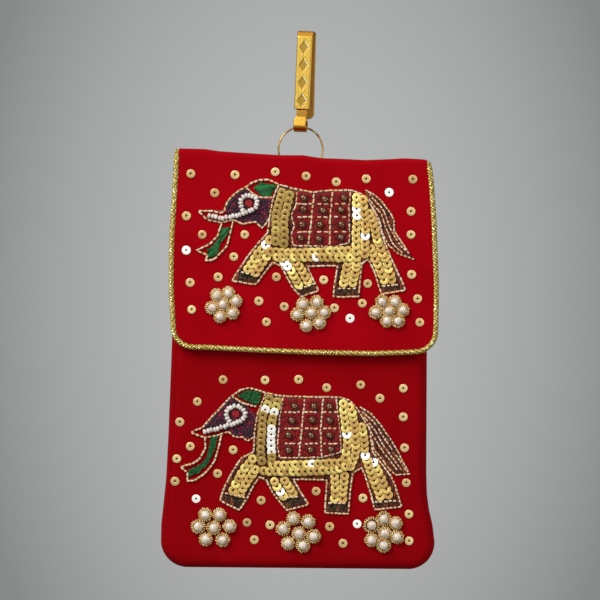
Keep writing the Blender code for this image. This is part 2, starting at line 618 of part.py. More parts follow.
def panel_mesh(name, top_z, outer_y):
    """Half of the pocket's outside as an open sheet: a flat face, rolled edges and a wall to the seam."""
    towards = 1 if outer_y > SEAM_Y else -1
    seam_y = SEAM_Y + towards * GAP / 2
    outline = body_outline(top_z, 0)
    bm = bmesh.new()
    base = bm.faces.new([bm.verts.new((x, seam_y, z)) for x, z in outline])
    made = bmesh.ops.extrude_face_region(bm, geom=[base])["geom"]
    moved = [v for v in made if isinstance(v, bmesh.types.BMVert)]
    bmesh.ops.translate(bm, verts=moved, vec=(0, outer_y - seam_y, 0))
    bm.normal_update()
    top_ends = {0, len(outline) - 1}
    outer_ring = set(moved)
    ring_order = {}
    for vert in moved:
        here = Vector((vert.co.x, vert.co.z))
        ring_order[vert] = min(range(len(outline)), key=lambda i: (Vector(outline[i]) - here).length)
    edges = []
    for edge in bm.edges:
        if not set(edge.verts) <= outer_ring:
            continue
        if {ring_order[v] for v in edge.verts} == top_ends:
            continue
        edges.append(edge)
    bmesh.ops.bevel(
        bm, geom=edges, offset=EDGE_ROLL, offset_type="OFFSET", segments=4, profile=0.5,
        affect="EDGES", clamp_overlap=True,
    )
    bm.normal_update()
    slope = Vector((math.sin(TOP_SLOPE), 0, math.cos(TOP_SLOPE)))
    open_faces = []
    for face in bm.faces:
        on_seam = all(abs(v.co.y - seam_y) < 0.001 * MM for v in face.verts)
        on_top = abs(face.normal.dot(slope)) > 0.9999 and all(
            abs(v.co.z - top_at(v.co.x, top_z)) < 0.01 * MM for v in face.verts
        )
        if on_seam or on_top:
            open_faces.append(face)
    bmesh.ops.delete(bm, geom=open_faces, context="FACES")
    bmesh.ops.recalc_face_normals(bm, faces=bm.faces)
    flat = max(bm.faces, key=lambda f: f.calc_area())
    if flat.normal.y * towards < 0:
        bmesh.ops.reverse_faces(bm, faces=bm.faces)
    mesh = bpy.data.meshes.new(name)
    bm.to_mesh(mesh)
    bm.free()
    return mesh


def add_wall(piece, thickness):
    """Gives an open sheet its thickness, inwards from its faces."""
    wall = piece.modifiers.new("Wall", "SOLIDIFY")
    wall.thickness = thickness
    wall.offset = -1
    wall.use_even_offset = True


def single_sequins(name, places, middle, face_y):
    """The scattered sequins of one panel, each sunk a little into the cloth that carries it."""
    back = face_y + SEQUIN_SUNK
    front = face_y - SEQUIN_PROUD
    centres = placed(places, middle)
    return joined(name, [disc_mesh(name, centre, SEQUIN_RADIUS, back, front, 7) for centre in centres])


def make_panels():
    """The pocket's back and front, cloth over a stiff interlining, joined at a seam round their edges."""
    back = add_piece("back_panel", panel_mesh("back_panel", CLOTH_TOP_Z, BACK_Y), red_cloth, pouch_pivot)
    add_wall(back, CLOTH)
    mouth_z = CLOTH_TOP_Z - MOUTH_DROP
    front = add_piece("front_panel", panel_mesh("front_panel", mouth_z, FRONT_Y), red_cloth, pouch_pivot)
    add_wall(front, CLOTH)
    combine(front, single_sequins("front_sequins", LOWER_SEQUINS, LOWER_ELEPHANT, FRONT_Y), "UNION")


def lining_inset():
    """How far in from the seam the lining's corner must stay to clear the rolled edge of the cloth."""
    inner = EDGE_ROLL - CLOTH
    clear = math.sqrt(max(2 * inner * GAP - GAP * GAP, 0))
    return EDGE_ROLL - clear + GAP


def make_lining():
    """A thin bag that hangs inside the pocket from just below the mouth."""
    top_z = CLOTH_TOP_Z - MOUTH_DROP - GAP
    outline = body_outline(top_z, lining_inset())
    back_y = POCKET_BACK_Y + LINING
    front_y = POCKET_FRONT_Y - LINING
    bm = bmesh.new()
    base = bm.faces.new([bm.verts.new((x, back_y, z)) for x, z in outline])
    made = bmesh.ops.extrude_face_region(bm, geom=[base])["geom"]
    moved = [v for v in made if isinstance(v, bmesh.types.BMVert)]
    bmesh.ops.translate(bm, verts=moved, vec=(0, front_y - back_y, 0))
    bm.normal_update()
    bmesh.ops.recalc_face_normals(bm, faces=bm.faces)
    slope = Vector((math.sin(TOP_SLOPE), 0, math.cos(TOP_SLOPE)))
    top = [f for f in bm.faces if f.normal.dot(slope) > 0.9999]
    bmesh.ops.delete(bm, geom=top, context="FACES")
    mesh = bpy.data.meshes.new("pocket_lining")
    bm.to_mesh(mesh)
    bm.free()
    add_wall(add_piece("pocket_lining", mesh, lining_cloth, pouch_pivot), LINING)


def flap_corners(top_z):
    """The flap's corners from the top left round the bottom, measured to the outside of its piping."""
    left = FLAP_LEFT + FLAP_TAPER_LEFT
    right = FLAP_RIGHT - FLAP_TAPER_RIGHT
    return [
        (left, top_at(left, top_z)),
        (FLAP_LEFT, FLAP_BOTTOM_Z),
        (FLAP_RIGHT, FLAP_BOTTOM_Z),
        (right, top_at(right, top_z)),
    ]


def flap_outline(top_z, inwards, steps=5):
    """The flap's outline, drawn in by a distance on every side but its top."""
    corners = shifted(flap_corners(top_z), [inwards] * 3 + [0])
    corner = max(FLAP_CORNER - inwards, 1 * MM)
    return rounded(corners, [0, corner, corner, 0], steps)


def make_fold():
    """The strip of the flap that lies over the mouth, with a round crease along its back and its front."""
    half = FOLD_THICKNESS / 2
    edge = arc((BACK_CREASE_Y, FOLD_Z), half, -math.pi / 2, math.pi / 2, 6)
    edge += arc((FRONT_CREASE_Y, FOLD_Z), half, math.pi / 2, 3 * math.pi / 2, 6)
    clear = 2 * PIPING_RADIUS + GAP
    left = FLAP_LEFT + FLAP_TAPER_LEFT + clear
    right = FLAP_RIGHT - FLAP_TAPER_RIGHT - clear
    middle = (left + right) / 2
    mesh = side_plate_mesh("top_strip", [edge], (right - left) / math.cos(TOP_SLOPE))
    drop = top_at(middle, FOLD_Z) - FOLD_Z
    to_axis = Matrix.Translation((0, 0, -FOLD_Z))
    tilt = Matrix.Rotation(TOP_SLOPE, 4, "Y")
    back = Matrix.Translation((middle, 0, FOLD_Z + drop))
    mesh.transform(back @ tilt @ to_axis)
    add_piece("top_strip", mesh, red_cloth, fold_pivot)


def make_flap():
    """The hanging leaf: stiff cloth, a thin lining behind it and a twisted cord sewn round three sides."""
    clear = 2 * PIPING_RADIUS + GAP
    outline = flap_outline(CLOTH_TOP_Z, clear)
    leaf = add_piece(
        "flap_panel", plate_mesh("flap_panel", [outline], FLAP_CLOTH_Y, FLAP_FRONT_Y), red_cloth, flap_pivot
    )
    combine(leaf, single_sequins("flap_sequins", UPPER_SEQUINS, UPPER_ELEPHANT, FLAP_FRONT_Y), "UNION")
    lining = plate_mesh("flap_lining", [outline], FLAP_BACK_Y, FLAP_BACK_Y - LINING)
    add_piece("flap_lining", lining, lining_cloth, flap_pivot)
    cord_top = FOLD_Z + FOLD_THICKNESS / 2
    route = flap_outline(cord_top, PIPING_RADIUS, 8)
    cord_y = (FLAP_CLOTH_Y + FLAP_FRONT_Y) / 2
    cord = wire_mesh("flap_piping", [(x, cord_y, z) for x, z in route], PIPING_RADIUS, False, 8)
    add_piece("flap_piping", cord, gold_cord, flap_pivot)


def make_snap():
    """A press stud: its socket is sewn on the front panel, its ball on the flap's lining."""
    centre = (FLAP_RIGHT_OF_LINE, FLAP_BOTTOM_Z + STUD_FROM_FLAP_EDGE)
    socket_back = FRONT_Y - GAP
    socket_front = socket_back - SOCKET_DISC
    socket_disc = disc_mesh("snap_socket", centre, STUD_RADIUS, socket_back, socket_front, 20)
    socket = add_piece("snap_socket", socket_disc, brass, pouch_pivot)
    recess = STUD_BALL_RADIUS + 2 * GAP
    hole = disc_mesh("socket_hole", centre, recess, socket_back + GAP, socket_front - GAP, 14)
    combine(socket, hole, "DIFFERENCE")
    disc_back = FLAP_BACK_Y + GAP
    stud_disc = disc_mesh("snap_stud", centre, STUD_RADIUS, disc_back + STUD_DISC, disc_back, 20)
    stud = add_piece("snap_stud", stud_disc, brass, flap_pivot)
    ball = disc_mesh("stud_ball", centre, STUD_BALL_RADIUS, socket_back - GAP, disc_back + STUD_DISC / 2, 12)
    combine(stud, ball, "UNION")


def couch(points, middle, face_y, radius=WIRE_RADIUS, closed=False):
    """A gold wire laid along an outline on the cloth."""
    y = face_y - GAP - radius
    route = [(x, y, z) for x, z in placed(points, middle)]
    return wire_mesh("couched_wire", route, radius, closed)


def field(name, points, middle, face_y, height, inwards, material, pivot):
    """A stitched or sequinned field that fills an outline, clear of the wire round it."""
    outline = placed(inset(points, inwards / DRAWN_MM), middle)
    back = face_y - GAP
    return add_piece(name, plate_mesh(name, [outline], back, back - height), material, pivot)


def make_outline(side, drawing, middle, face_y, pivot):
    """All the couched wire of one elephant, joined where its runs cross."""
    body = couch(drawing["body"], middle, face_y, closed=True)
    outline = add_piece(f"{side}_gold_outline", body, gold_wire, pivot)
    runs = [couch(drawing[run], middle, face_y) for run in ("forehead", "crown_line", "jaw", "tusk", "trunk")]
    combine(outline, joined("outline_runs", runs), "UNION", crossing=True)


def make_sequin_body(side, drawing, middle, face_y, pivot):
    """The field of overlapping sequins, left open under the blanket and above each hoof."""
    body = field(
        f"{side}_sequin_body", drawing["body"], middle, face_y, FIELD_HEIGHT, FIELD_INSET, gold_sequin, pivot
    )
    back = face_y + GAP
    front = face_y - GAP - 2 * FIELD_HEIGHT
    windows = [inset(drawing["blanket"], -GAP / DRAWN_MM)]
    windows += [inset(hoof, -HOOF_MARGIN / DRAWN_MM) for hoof in drawing["hooves"]]
    cuts = [plate_mesh("field_window", [placed(window, middle)], back, front) for window in windows]
    combine(body, joined("field_windows", cuts), "DIFFERENCE")


def make_blanket(side, drawing, middle, face_y, pivot):
    """The saddle cloth: dark stitching under a grid of gold wire, with a glass bead in each window."""
    cloth = field(f"{side}_blanket", drawing["blanket"], middle, face_y, THREAD_HEIGHT, 0, maroon_thread, pivot)
    surface = face_y - GAP - THREAD_HEIGHT
    wire = GRID_WIRE_RADIUS
    wire_y = surface - wire / 2
    grid = []
    for column in drawing["columns"]:
        grid.append(wire_mesh("column", [(x, wire_y, z) for x, z in placed(column, middle)], wire, sides=4))
    across = [x for x, z in drawing["blanket"]]
    for height in drawing["rows"]:
        row = [(min(across) + GRID_FROM_LEFT, height), (max(across) - GRID_FROM_RIGHT, height)]
        grid.append(wire_mesh("row", [(x, wire_y, z) for x, z in placed(row, middle)], wire, sides=4))
    for x, z in placed(drawing["glass_beads"], middle):
        grid.append(ball_mesh("glass_bead", (x, surface - GLASS_BEAD_RADIUS / 2, z), GLASS_BEAD_RADIUS, 6, 4))
    combine(cloth, joined("grid_and_beads", grid), "UNION", crossing=True)


def make_head(side, drawing, middle, face_y, pivot):
    """The dark head, the green crown and trunk, the string of white beads and the red eye."""
    start = drawing["forehead"].index(drawing["crown_line"][0])
    neck = drawing["body"][-2:][::-1]
    head = drawing["forehead"][:start] + drawing["crown_line"][:-1] + neck + drawing["jaw"][::-1]
    field(f"{side}_head", head, middle, face_y, THREAD_HEIGHT, FIELD_INSET, purple_thread, pivot)
    crown = drawing["forehead"][start:] + drawing["crown_line"][1:][::-1]
    field(f"{side}_crown", crown, middle, face_y, THREAD_HEIGHT, FIELD_INSET, green_thread, pivot)
    field(f"{side}_trunk", drawing["trunk"], middle, face_y, THREAD_HEIGHT, FIELD_INSET, green_thread, pivot)
    bead_y = face_y - GAP - THREAD_HEIGHT - GAP - WHITE_BEAD_RADIUS
    string = [(x, bead_y, z) for x, z in placed(drawing["white_beads"], middle)]
    add_piece(
        f"{side}_white_beads", wire_mesh("white_beads", string, WHITE_BEAD_RADIUS), white_bead, pivot
    )
    eye = placed([drawing["eye"]], middle)[0]
    eye_back = face_y - GAP - THREAD_HEIGHT - GAP
    add_piece(
        f"{side}_eye", disc_mesh("eye", eye, EYE_CENTRE_RADIUS, eye_back, eye_back - FIELD_HEIGHT, 12),
        red_cloth, pivot,
    )


def make_tail(side, drawing, middle, face_y, pivot):
    """Two gold strands that part and meet again, laid as one."""
    loop = drawing["tail"][0] + drawing["tail"][1][::-1]
    add_piece(f"{side}_tail", couch(loop, middle, face_y, closed=True), gold_wire, pivot)


def make_hooves(side, drawing, middle, face_y, pivot):
    """A dark cuff across the end of each leg."""
    for number, hoof in enumerate(drawing["hooves"], 1):
        field(f"{side}_hoof_{number}", hoof, middle, face_y, THREAD_HEIGHT, 0, olive_thread, pivot)


def make_elephant(side, drawing, middle, face_y, pivot):
    """One beadwork elephant, laid on its panel piece by piece."""
    make_outline(side, drawing, middle, face_y, pivot)
    make_sequin_body(side, drawing, middle, face_y, pivot)
    make_blanket(side, drawing, middle, face_y, pivot)
    make_head(side, drawing, middle, face_y, pivot)
    make_tail(side, drawing, middle, face_y, pivot)
    make_hooves(side, drawing, middle, face_y, pivot)


def flower_outline(middle, outer):
    """The outer edge of the coiled rings: an arc round each outer pearl, with straight runs between them."""
    outline = []
    for centre in outer:
        outwards = math.atan2(centre[1] - middle[1], centre[0] - middle[0])
        outline += arc(centre, COIL_RING_RADIUS, outwards + COIL_RING_SPREAD, outwards - COIL_RING_SPREAD, 3)
    return outline


def make_flower(name, middle, outer, face_y, pivot):
    """Seven pearls, each in a ring of coiled wire; the rings lie side by side and are stitched together."""
    outer = placed(outer, middle)
    back = face_y - GAP
    rings = plate_mesh(name, [flower_outline(middle, outer)], back, back - COIL_RING_HEIGHT)
    flower = add_piece(name, rings, pearl, pivot)
    pearl_y = back - PEARL_RADIUS
    pearls = [ball_mesh(name, (x, pearl_y, z), PEARL_RADIUS, 7, 4) for x, z in [middle] + outer]
    combine(flower, joined("pearls", pearls), "UNION")


def make_flowers():
    """Three flowers under each elephant."""
    for name, pearls in FLOWERS.items():
        if name.startswith("upper"):
            middle = placed(pearls[:1], UPPER_ELEPHANT)[0]
            make_flower(name, middle, pearls[1:], FLAP_FRONT_Y, flap_pivot)
        else:
            middle = placed(pearls[:1], LOWER_ELEPHANT)[0]
            make_flower(name, middle, pearls[1:], FRONT_Y, pouch_pivot)


clear_scene()
parts = new_collection("phone_pouch")
cutters = new_collection("cutters")

gilt = finish("gilt_brass", (0.80, 0.56, 0.18), 0.34, 1.0)
brass = finish("brass_wire", (0.60, 0.42, 0.16), 0.3, 1.0)
red_cloth = finish("red_cloth", (0.38, 0.002, 0.008), 0.8, 0.0)
lining_cloth = finish("lining_cloth", (0.22, 0.004, 0.008), 0.85, 0.0)
gold_cord = finish("gold_cord", (0.62, 0.50, 0.12), 0.4, 0.8)
gold_wire = finish("gold_wire", (0.85, 0.60, 0.42), 0.35, 0.9)
gold_sequin = finish("gold_sequin", (0.62, 0.42, 0.14), 0.25, 0.9)
maroon_thread = finish("maroon_thread", (0.10, 0.01, 0.01), 0.6, 0.0)
purple_thread = finish("purple_thread", (0.05, 0.01, 0.04), 0.6, 0.0)
green_thread = finish("green_thread", (0.01, 0.16, 0.04), 0.4, 0.2)
olive_thread = finish("olive_thread", (0.08, 0.06, 0.01), 0.5, 0.2)
white_bead = finish("white_bead", (0.80, 0.76, 0.72), 0.3, 0.0)
pearl = finish("pearl", (0.80, 0.70, 0.60), 0.25, 0.0)

ring_pivot = add_pivot("ring_pivot", (HANG_X, 0, RING_TOP_Z))
pouch_pivot = add_pivot("pouch_pivot", (HANG_X, 0, RING_BOTTOM_Z), ring_pivot)
crease_z = FOLD_Z + math.tan(TOP_SLOPE) * TOP_MIDDLE_X
fold_pivot = add_pivot("fold_pivot", (HANG_X, BACK_CREASE_Y, crease_z), pouch_pivot)
flap_pivot = add_pivot("flap_pivot", (HANG_X, FRONT_CREASE_Y, crease_z), fold_pivot)

make_hook()
make_ring()
make_tab()
make_panels()
make_lining()
make_fold()
make_flap()
make_snap()
make_elephant("upper", UPPER, UPPER_ELEPHANT, FLAP_FRONT_Y, flap_pivot)
make_elephant("lower", LOWER, LOWER_ELEPHANT, FRONT_Y, pouch_pivot)
make_flowers()

pouch_pivot.rotation_euler.x = HANG_LEAN
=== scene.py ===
"""Looks of the phone pouch: gilt waist hook, wire ring, red cloth pocket and flap, beadwork elephants.

Sizes are millimetres. The pouch is worked out hanging straight down from the ring, then leaned back a
little about the ring's lowest point, as it hangs.
"""

import math

import bpy
import numpy as np
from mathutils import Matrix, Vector


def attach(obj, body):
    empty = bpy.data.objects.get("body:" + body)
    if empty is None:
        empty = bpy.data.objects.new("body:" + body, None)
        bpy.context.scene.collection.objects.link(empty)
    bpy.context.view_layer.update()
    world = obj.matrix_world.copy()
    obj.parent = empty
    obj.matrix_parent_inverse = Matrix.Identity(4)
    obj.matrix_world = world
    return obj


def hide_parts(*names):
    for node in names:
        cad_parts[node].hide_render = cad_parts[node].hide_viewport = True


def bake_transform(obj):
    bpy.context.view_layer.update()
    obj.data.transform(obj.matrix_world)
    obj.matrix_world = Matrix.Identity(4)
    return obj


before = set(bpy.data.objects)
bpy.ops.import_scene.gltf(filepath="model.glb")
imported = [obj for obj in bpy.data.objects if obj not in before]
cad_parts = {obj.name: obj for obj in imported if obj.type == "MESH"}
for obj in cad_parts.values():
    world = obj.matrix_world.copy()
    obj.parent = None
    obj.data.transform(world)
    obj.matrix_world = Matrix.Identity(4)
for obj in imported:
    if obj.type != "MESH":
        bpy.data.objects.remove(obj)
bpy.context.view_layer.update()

MM = 0.001

# Waist hook: one strip of gilt brass folded over a waistband. Its plate is stamped with four diamonds on
# a grained ground, and its end is drawn narrow and curled forward into an eye for the ring.
HOOK_SHEET = 0.8
HOOK_HALF = 3.75
PLATE_HALF = 3.55
NECK_HALF = 2.4
EYE_HALF = 2.9
TIP_ROUND = 2.4
TONGUE_RUN = 39.0
TONGUE_LEAN = 0.02
TONGUE_Y = 4.25
PLATE_Y = -2.35
PLATE_TOP = -1.9
PLATE_END = -34.4
PLATE_SHIFT = 0.4
EYE_DEPTH = 42.1
EYE_RADIUS = 2.35
EYE_SHIFT = 0.7
DIAMOND_TOP = -6.7
DIAMOND_PITCH = 8.0
DIAMOND_COUNT = 4
DIAMOND_HALF_WIDTH = 2.4
DIAMOND_HALF_HEIGHT = 3.5
DIAMOND_DEPTH = 0.14
HOOK_YAW = math.radians(-11)
HOOK_LEAN = math.radians(2.6)
LINE_STEP = 0.27


def shade(red, green, blue):
    """A colour as seen on a screen, from 0 to 255 a channel, as the shader's own linear colour."""
    seen = np.array([red, green, blue]) / 255
    linear = np.where(seen > 0.04045, ((seen + 0.055) / 1.055) ** 2.4, seen / 12.92)
    return (*linear, 1.0)


class Value:
    """A number that varies over a surface; arithmetic on it adds Math nodes."""

    def __init__(self, finish, socket):
        self.finish = finish
        self.socket = socket

    def math(self, operation, *others):
        values = dict(enumerate((self, *others)))
        return self.finish.add("Math", {"operation": operation}, values)

    def __add__(self, other):
        return self.math("ADD", other)

    def __mul__(self, other):
        return self.math("MULTIPLY", other)

    def __sub__(self, other):
        return self.math("SUBTRACT", other)

    def __rsub__(self, other):
        return self * -1 + other

    __radd__ = __add__
    __rmul__ = __mul__


class Finish:
    """A material: constants on its shader, and nodes that are added with one method."""

    def __init__(self, name, constants):
        self.material = bpy.data.materials.new(name)
        self.material.use_nodes = True
        self.tree = self.material.node_tree
        self.shader = self.tree.nodes["Principled BSDF"]
        for socket, value in constants.items():
            self.feed(self.shader.inputs[socket], value)

    def feed(self, socket, value):
        if isinstance(value, Value):
            self.tree.links.new(value.socket, socket)
        else:
            socket.default_value = value

    def add(self, kind, settings, values, output=0):
        """A node of a kind, its settings set before its sockets are filled; gives one of its outputs."""
        node = self.tree.nodes.new("ShaderNode" + kind)
        for name, value in settings.items():
            setattr(node, name, value)
        for name, value in values.items():
            self.feed(node.inputs[name], value)
        return Value(self, node.outputs[output])

    def place(self, scale=(1, 1, 1)):
        """The point on the object in millimetres, stretched along each axis."""
        spot = self.add("TexCoord", {}, {}, "Object")
        stretch = tuple(1000 * s for s in scale)
        return self.add("Mapping", {}, {"Vector": spot, "Scale": stretch})

    def noise(self, size, detail=2.0, scale=(1, 1, 1)):
        """Smooth random numbers from 0 to 1, with spots about as wide as size in millimetres."""
        values = {"Vector": self.place(scale), "Scale": 1 / size, "Detail": detail}
        return self.add("TexNoise", {}, values)

    def between(self, value, low, high):
        """0 below low, 1 above high, and straight between them."""
        return self.add("MapRange", {}, {0: value, 1: low, 2: high})

    def layer(self, name):
        """A number kept on the mesh's points."""
        return self.add("Attribute", {"attribute_name": name}, {}, "Fac")

    def split(self, vector):
        """The three numbers of a vector."""
        node = self.add("SeparateXYZ", {}, {0: vector}).socket.node
        return [Value(self, output) for output in node.outputs]

    def mix(self, factor, first, second):
        return self.add("Mix", {"data_type": "RGBA"}, {0: factor, 6: first, 7: second}, 2)

    def paint(self, **sockets):
        """Feeds the shader: colour, roughness and so on."""
        for socket, value in sockets.items():
            self.feed(self.shader.inputs[socket.replace("_", " ")], value)

    def emboss(self, height, distance, strength=1.0):
        """Raises the surface by a height from 0 to 1 times a distance in millimetres."""
        values = {"Height": height, "Distance": distance * MM, "Strength": strength}
        self.feed(self.shader.inputs["Normal"], self.add("Bump", {}, values))


def make_piece(name, points, faces, finish, body=None, **layers):
    """A smooth mesh of points in millimetres. Faces come in groups: each holds faces of as many corners."""
    points = np.asarray(points, float).reshape(-1, 3) * MM
    corners = np.concatenate([np.ravel(group) for group in faces])
    counts = np.concatenate([np.full(len(group), group.shape[1]) for group in faces])
    mesh = bpy.data.meshes.new(name)
    mesh.vertices.add(len(points))
    mesh.vertices.foreach_set("co", points.ravel())
    mesh.loops.add(len(corners))
    mesh.loops.foreach_set("vertex_index", corners.astype(np.int32))
    mesh.polygons.add(len(counts))
    mesh.polygons.foreach_set("loop_start", (np.cumsum(counts) - counts).astype(np.int32))
    mesh.polygons.foreach_set("loop_total", counts.astype(np.int32))
    mesh.update(calc_edges=True)
    mesh.shade_smooth()
    for layer, values in layers.items():
        spread = np.broadcast_to(values, len(points)).astype(np.float32)
        mesh.attributes.new(layer, "FLOAT", "POINT").data.foreach_set("value", spread)
    mesh.materials.append(finish.material)
    piece = bpy.data.objects.new(name, mesh)
    bpy.context.scene.collection.objects.link(piece)
    if body:
        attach(piece, body)
    return piece


def grid_faces(rows, columns, wrap_rows=False, wrap_columns=False):
    """Squares between neighbours in a grid of points; a wrapped way joins its last line to its first."""
    row = np.arange(rows - (not wrap_rows))[:, None]
    column = np.arange(columns - (not wrap_columns))
    here = row * columns
    below = (row + 1) % rows * columns
    right = (column + 1) % columns
    return np.stack([here + column, below + column, below + right, here + right], -1).reshape(-1, 4)


def arc(centre, radius, first, last, steps=24):
    """Points on an arc between two angles in degrees."""
    angles = np.radians(np.linspace(first, last, steps))
    return np.stack([centre[0] + radius * np.cos(angles), centre[1] + radius * np.sin(angles)], -1)


def walked(points, step):
    """Points at equal steps along a line of straight runs."""
    points = np.asarray(points, float)
    far = np.concatenate([[0], np.cumsum(np.linalg.norm(np.diff(points, axis=0), axis=1))])
    count = max(int(round(far[-1] / step)), 2)
    spots = np.linspace(0, far[-1], count + 1)
    return np.stack([np.interp(spots, far, points[:, i]) for i in range(points.shape[1])], -1)


def strip_faces(rows, ring):
    """The skin of a closed bar: squares along it and one flat end at each end."""
    ends = np.stack([np.arange(ring), rows * ring - 1 - np.arange(ring)])
    return [grid_faces(rows, ring, wrap_columns=True), ends]


def bent_strip(line, half, thickness, across):
    """A strip along a side-view line (y, z): a flat ring with round edges is carried along the line, square
    to it. Returns its points, and for each the place across (-1 to 1) and the side (1 outer, -1 inner)."""
    along = np.gradient(line, axis=0)
    along /= np.linalg.norm(along, axis=1, keepdims=True)
    out = np.stack([along[:, 1], -along[:, 0]], -1)
    edge = thickness / 2
    spread = np.linspace(-1, 1, across)
    turn = np.radians([60, 20, -20, -60])
    flat = np.concatenate([spread, np.ones(4), spread[::-1], -np.ones(4)])
    rim = np.concatenate([np.zeros(across), np.cos(turn), np.zeros(across), -np.cos(turn)])
    side = np.concatenate([np.ones(across), np.sin(turn), -np.ones(across), -np.sin(turn)])
    x = flat * (half[:, None] - edge) + rim * edge
    off = side * edge * np.ones_like(x)
    return x, off, out, flat, side


def hook_line():
    """The strip's middle seen from the side: up the tongue, over the top, down the plate, round the eye."""
    eye = arc((0, -EYE_DEPTH), EYE_RADIUS, 180, 480, 40)
    corners = np.concatenate([
        [(TONGUE_Y, -38.8)], arc((TONGUE_Y - 1, -0.6), 1.0, 0, 90, 8), [(-0.7, 0.4)],
        arc((-0.9, -0.1), 0.5, 90, 150, 4), [(PLATE_Y, PLATE_TOP), (PLATE_Y, PLATE_END - 0.2)],
        [(PLATE_Y + 0.5, PLATE_END - 0.6), (PLATE_Y + 0.45, PLATE_END - 3.5)], eye,
    ])
    return walked(corners, LINE_STEP)


def turned(first, second, angle):
    """Two coordinates turned by an angle: first*cos - second*sin and first*sin + second*cos."""
    cos, sin = math.cos(angle), math.sin(angle)
    return first * cos - second * sin, first * sin + second * cos


def turned_hook(points):
    """The hook as it hangs: turned about the upright, then tilted in the picture's plane."""
    x, y, z = np.moveaxis(points, -1, 0)
    x, y = turned(x, y, HOOK_YAW)
    x, z = turned(x, z, -HOOK_LEAN)
    return np.stack([x, y, z], -1)


line = hook_line()
from_tip = np.arange(len(line)) * LINE_STEP
down = -line[:, 1]
on_tongue = from_tip < TONGUE_RUN
before_round = TIP_ROUND - np.clip(from_tip, 0, TIP_ROUND)
half = HOOK_HALF - TIP_ROUND + np.sqrt(np.clip(TIP_ROUND**2 - before_round**2, 0.04, None))
front_down = [0.5, 2.5, -PLATE_END, -PLATE_END + 0.3, 37.5, 39.5]
front_half = [HOOK_HALF, PLATE_HALF, PLATE_HALF, NECK_HALF, NECK_HALF, EYE_HALF]
half = np.where(from_tip > TONGUE_RUN + 0.5, np.interp(down, front_down, front_half), half)
x, off, out, flat, side = bent_strip(line, half, HOOK_SHEET, 41)

plate_row = (line[:, 0] < PLATE_Y + 1.0) & (down < -PLATE_END) & (down > -PLATE_TOP)
plate = plate_row[:, None] & (side > 0.9)
diamond = np.zeros_like(x)
for centre in DIAMOND_TOP - DIAMOND_PITCH * np.arange(DIAMOND_COUNT):
    away = np.abs(line[:, 1:] - centre) / DIAMOND_HALF_HEIGHT
    slope = 1 - np.abs(x) / DIAMOND_HALF_WIDTH - away
    diamond = np.maximum(diamond, plate * np.clip(slope * 3.5, 0, 1))
off = off - DIAMOND_DEPTH * diamond
x = x + PLATE_SHIFT + EYE_SHIFT * np.clip((40.5 - down) / 4.0, 0, 1)[:, None]
x = x + TONGUE_LEAN * (down * on_tongue)[:, None]
points = np.stack([x, line[:, :1] + out[:, :1] * off, line[:, 1:] + out[:, 1:] * off], -1)

border = np.clip((np.abs(flat) - 0.84) / 0.1, 0, 1)
# Each diamond's upper bevel gets a painted highlight and its lower bevel a painted shade.
bevel = (diamond > 0) & (diamond < 0.8) & (x > PLATE_SHIFT + EYE_SHIFT)
in_pitch = np.mod(down + DIAMOND_TOP + DIAMOND_PITCH / 2, DIAMOND_PITCH)
upper_half = (in_pitch < DIAMOND_PITCH / 2)[:, None]
upper_bend = ((down < -PLATE_TOP) & (line[:, 0] < 0))[:, None]

gilt = Finish("gilt_brass", {"Metallic": 1.0, "Roughness": 0.3})
grain = gilt.noise(0.35, 3.0)
worn = gilt.noise(2.5, 2.0)
# This layer is the brass's more orange tone off the front plate and on its top bend, and also a painted shade
# inside each pressed diamond.
warm = gilt.mix(gilt.layer("warm"), shade(206, 172, 78), shade(196, 138, 48))
tone = gilt.mix(gilt.between(worn, 0.35, 0.7) * 0.35, warm, shade(200, 160, 70))
mottled = gilt.between(gilt.noise(0.8, 3.0), 0.4, 0.6) * gilt.layer("stamped")
tone = gilt.mix(mottled * 0.5, tone, shade(186, 148, 60))
# Lower bevels are painted darker, a painted shade; upper bevels are painted pale and barely metallic, a
# painted highlight.
tone = gilt.mix(gilt.layer("dim"), tone, shade(150, 112, 44))
gilt.paint(
    Base_Color=gilt.mix(gilt.layer("bright"), tone, shade(255, 246, 190)),
    Metallic=1 - gilt.layer("bright") * 0.9 - gilt.layer("inner") * 0.6 - gilt.layer("dim") * 0.8,
    Roughness=0.24 + gilt.layer("stamped") * 0.18 + worn * 0.06 + gilt.layer("inner") * 0.2,
)
gilt.emboss(grain * gilt.layer("stamped"), 0.14, 1.0)
hook = make_piece(
    "gilt_hook", turned_hook(points), strip_faces(*x.shape), gilt, "hook",
    warm=np.ravel(np.clip(0.8 - 0.8 * plate + 0.2 * upper_bend + 0.3 * diamond, 0, 1)),
    stamped=np.ravel(plate * (1 - 0.6 * border) * (diamond == 0)),
    bright=np.ravel(bevel & upper_half),
    dim=np.ravel(bevel & ~upper_half),
    inner=np.ravel(on_tongue[:, None] & (side < 0.9)),
)
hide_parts("waist_hook")

# Ring: brass wire bent round and hung in the hook's eye, a little dull and brighter where it rubs. The
# pouch hangs from its lowest point.
RING_RADIUS = 10.0
RING_WIRE_RADIUS = 0.43
HANG_X = -1.469
RING_LOW = -62.574


def tubes(paths, radius, sides, closed=False):
    """Round rods along many paths at once: a circle is carried along each path, square to it. The paths lie
    about flat to the front, so one arm of the circle is the path's direction crossed with the front's."""
    paths = np.asarray(paths, float)
    if closed:
        along = np.roll(paths, -1, 1) - np.roll(paths, 1, 1)
    else:
        along = np.gradient(paths, axis=1)
    along /= np.linalg.norm(along, axis=-1, keepdims=True)
    arm = np.cross(along, (0.0, -1.0, 0.0))
    arm /= np.maximum(np.linalg.norm(arm, axis=-1, keepdims=True), 1e-9)
    other = np.cross(arm, along)
    angle = np.arange(sides) * 2 * math.pi / sides
    reach = np.broadcast_to(radius, paths.shape[:2])[..., None, None]
    circle = np.cos(angle)[:, None] * arm[..., None, :] + np.sin(angle)[:, None] * other[..., None, :]
    return paths[..., None, :] + reach * circle


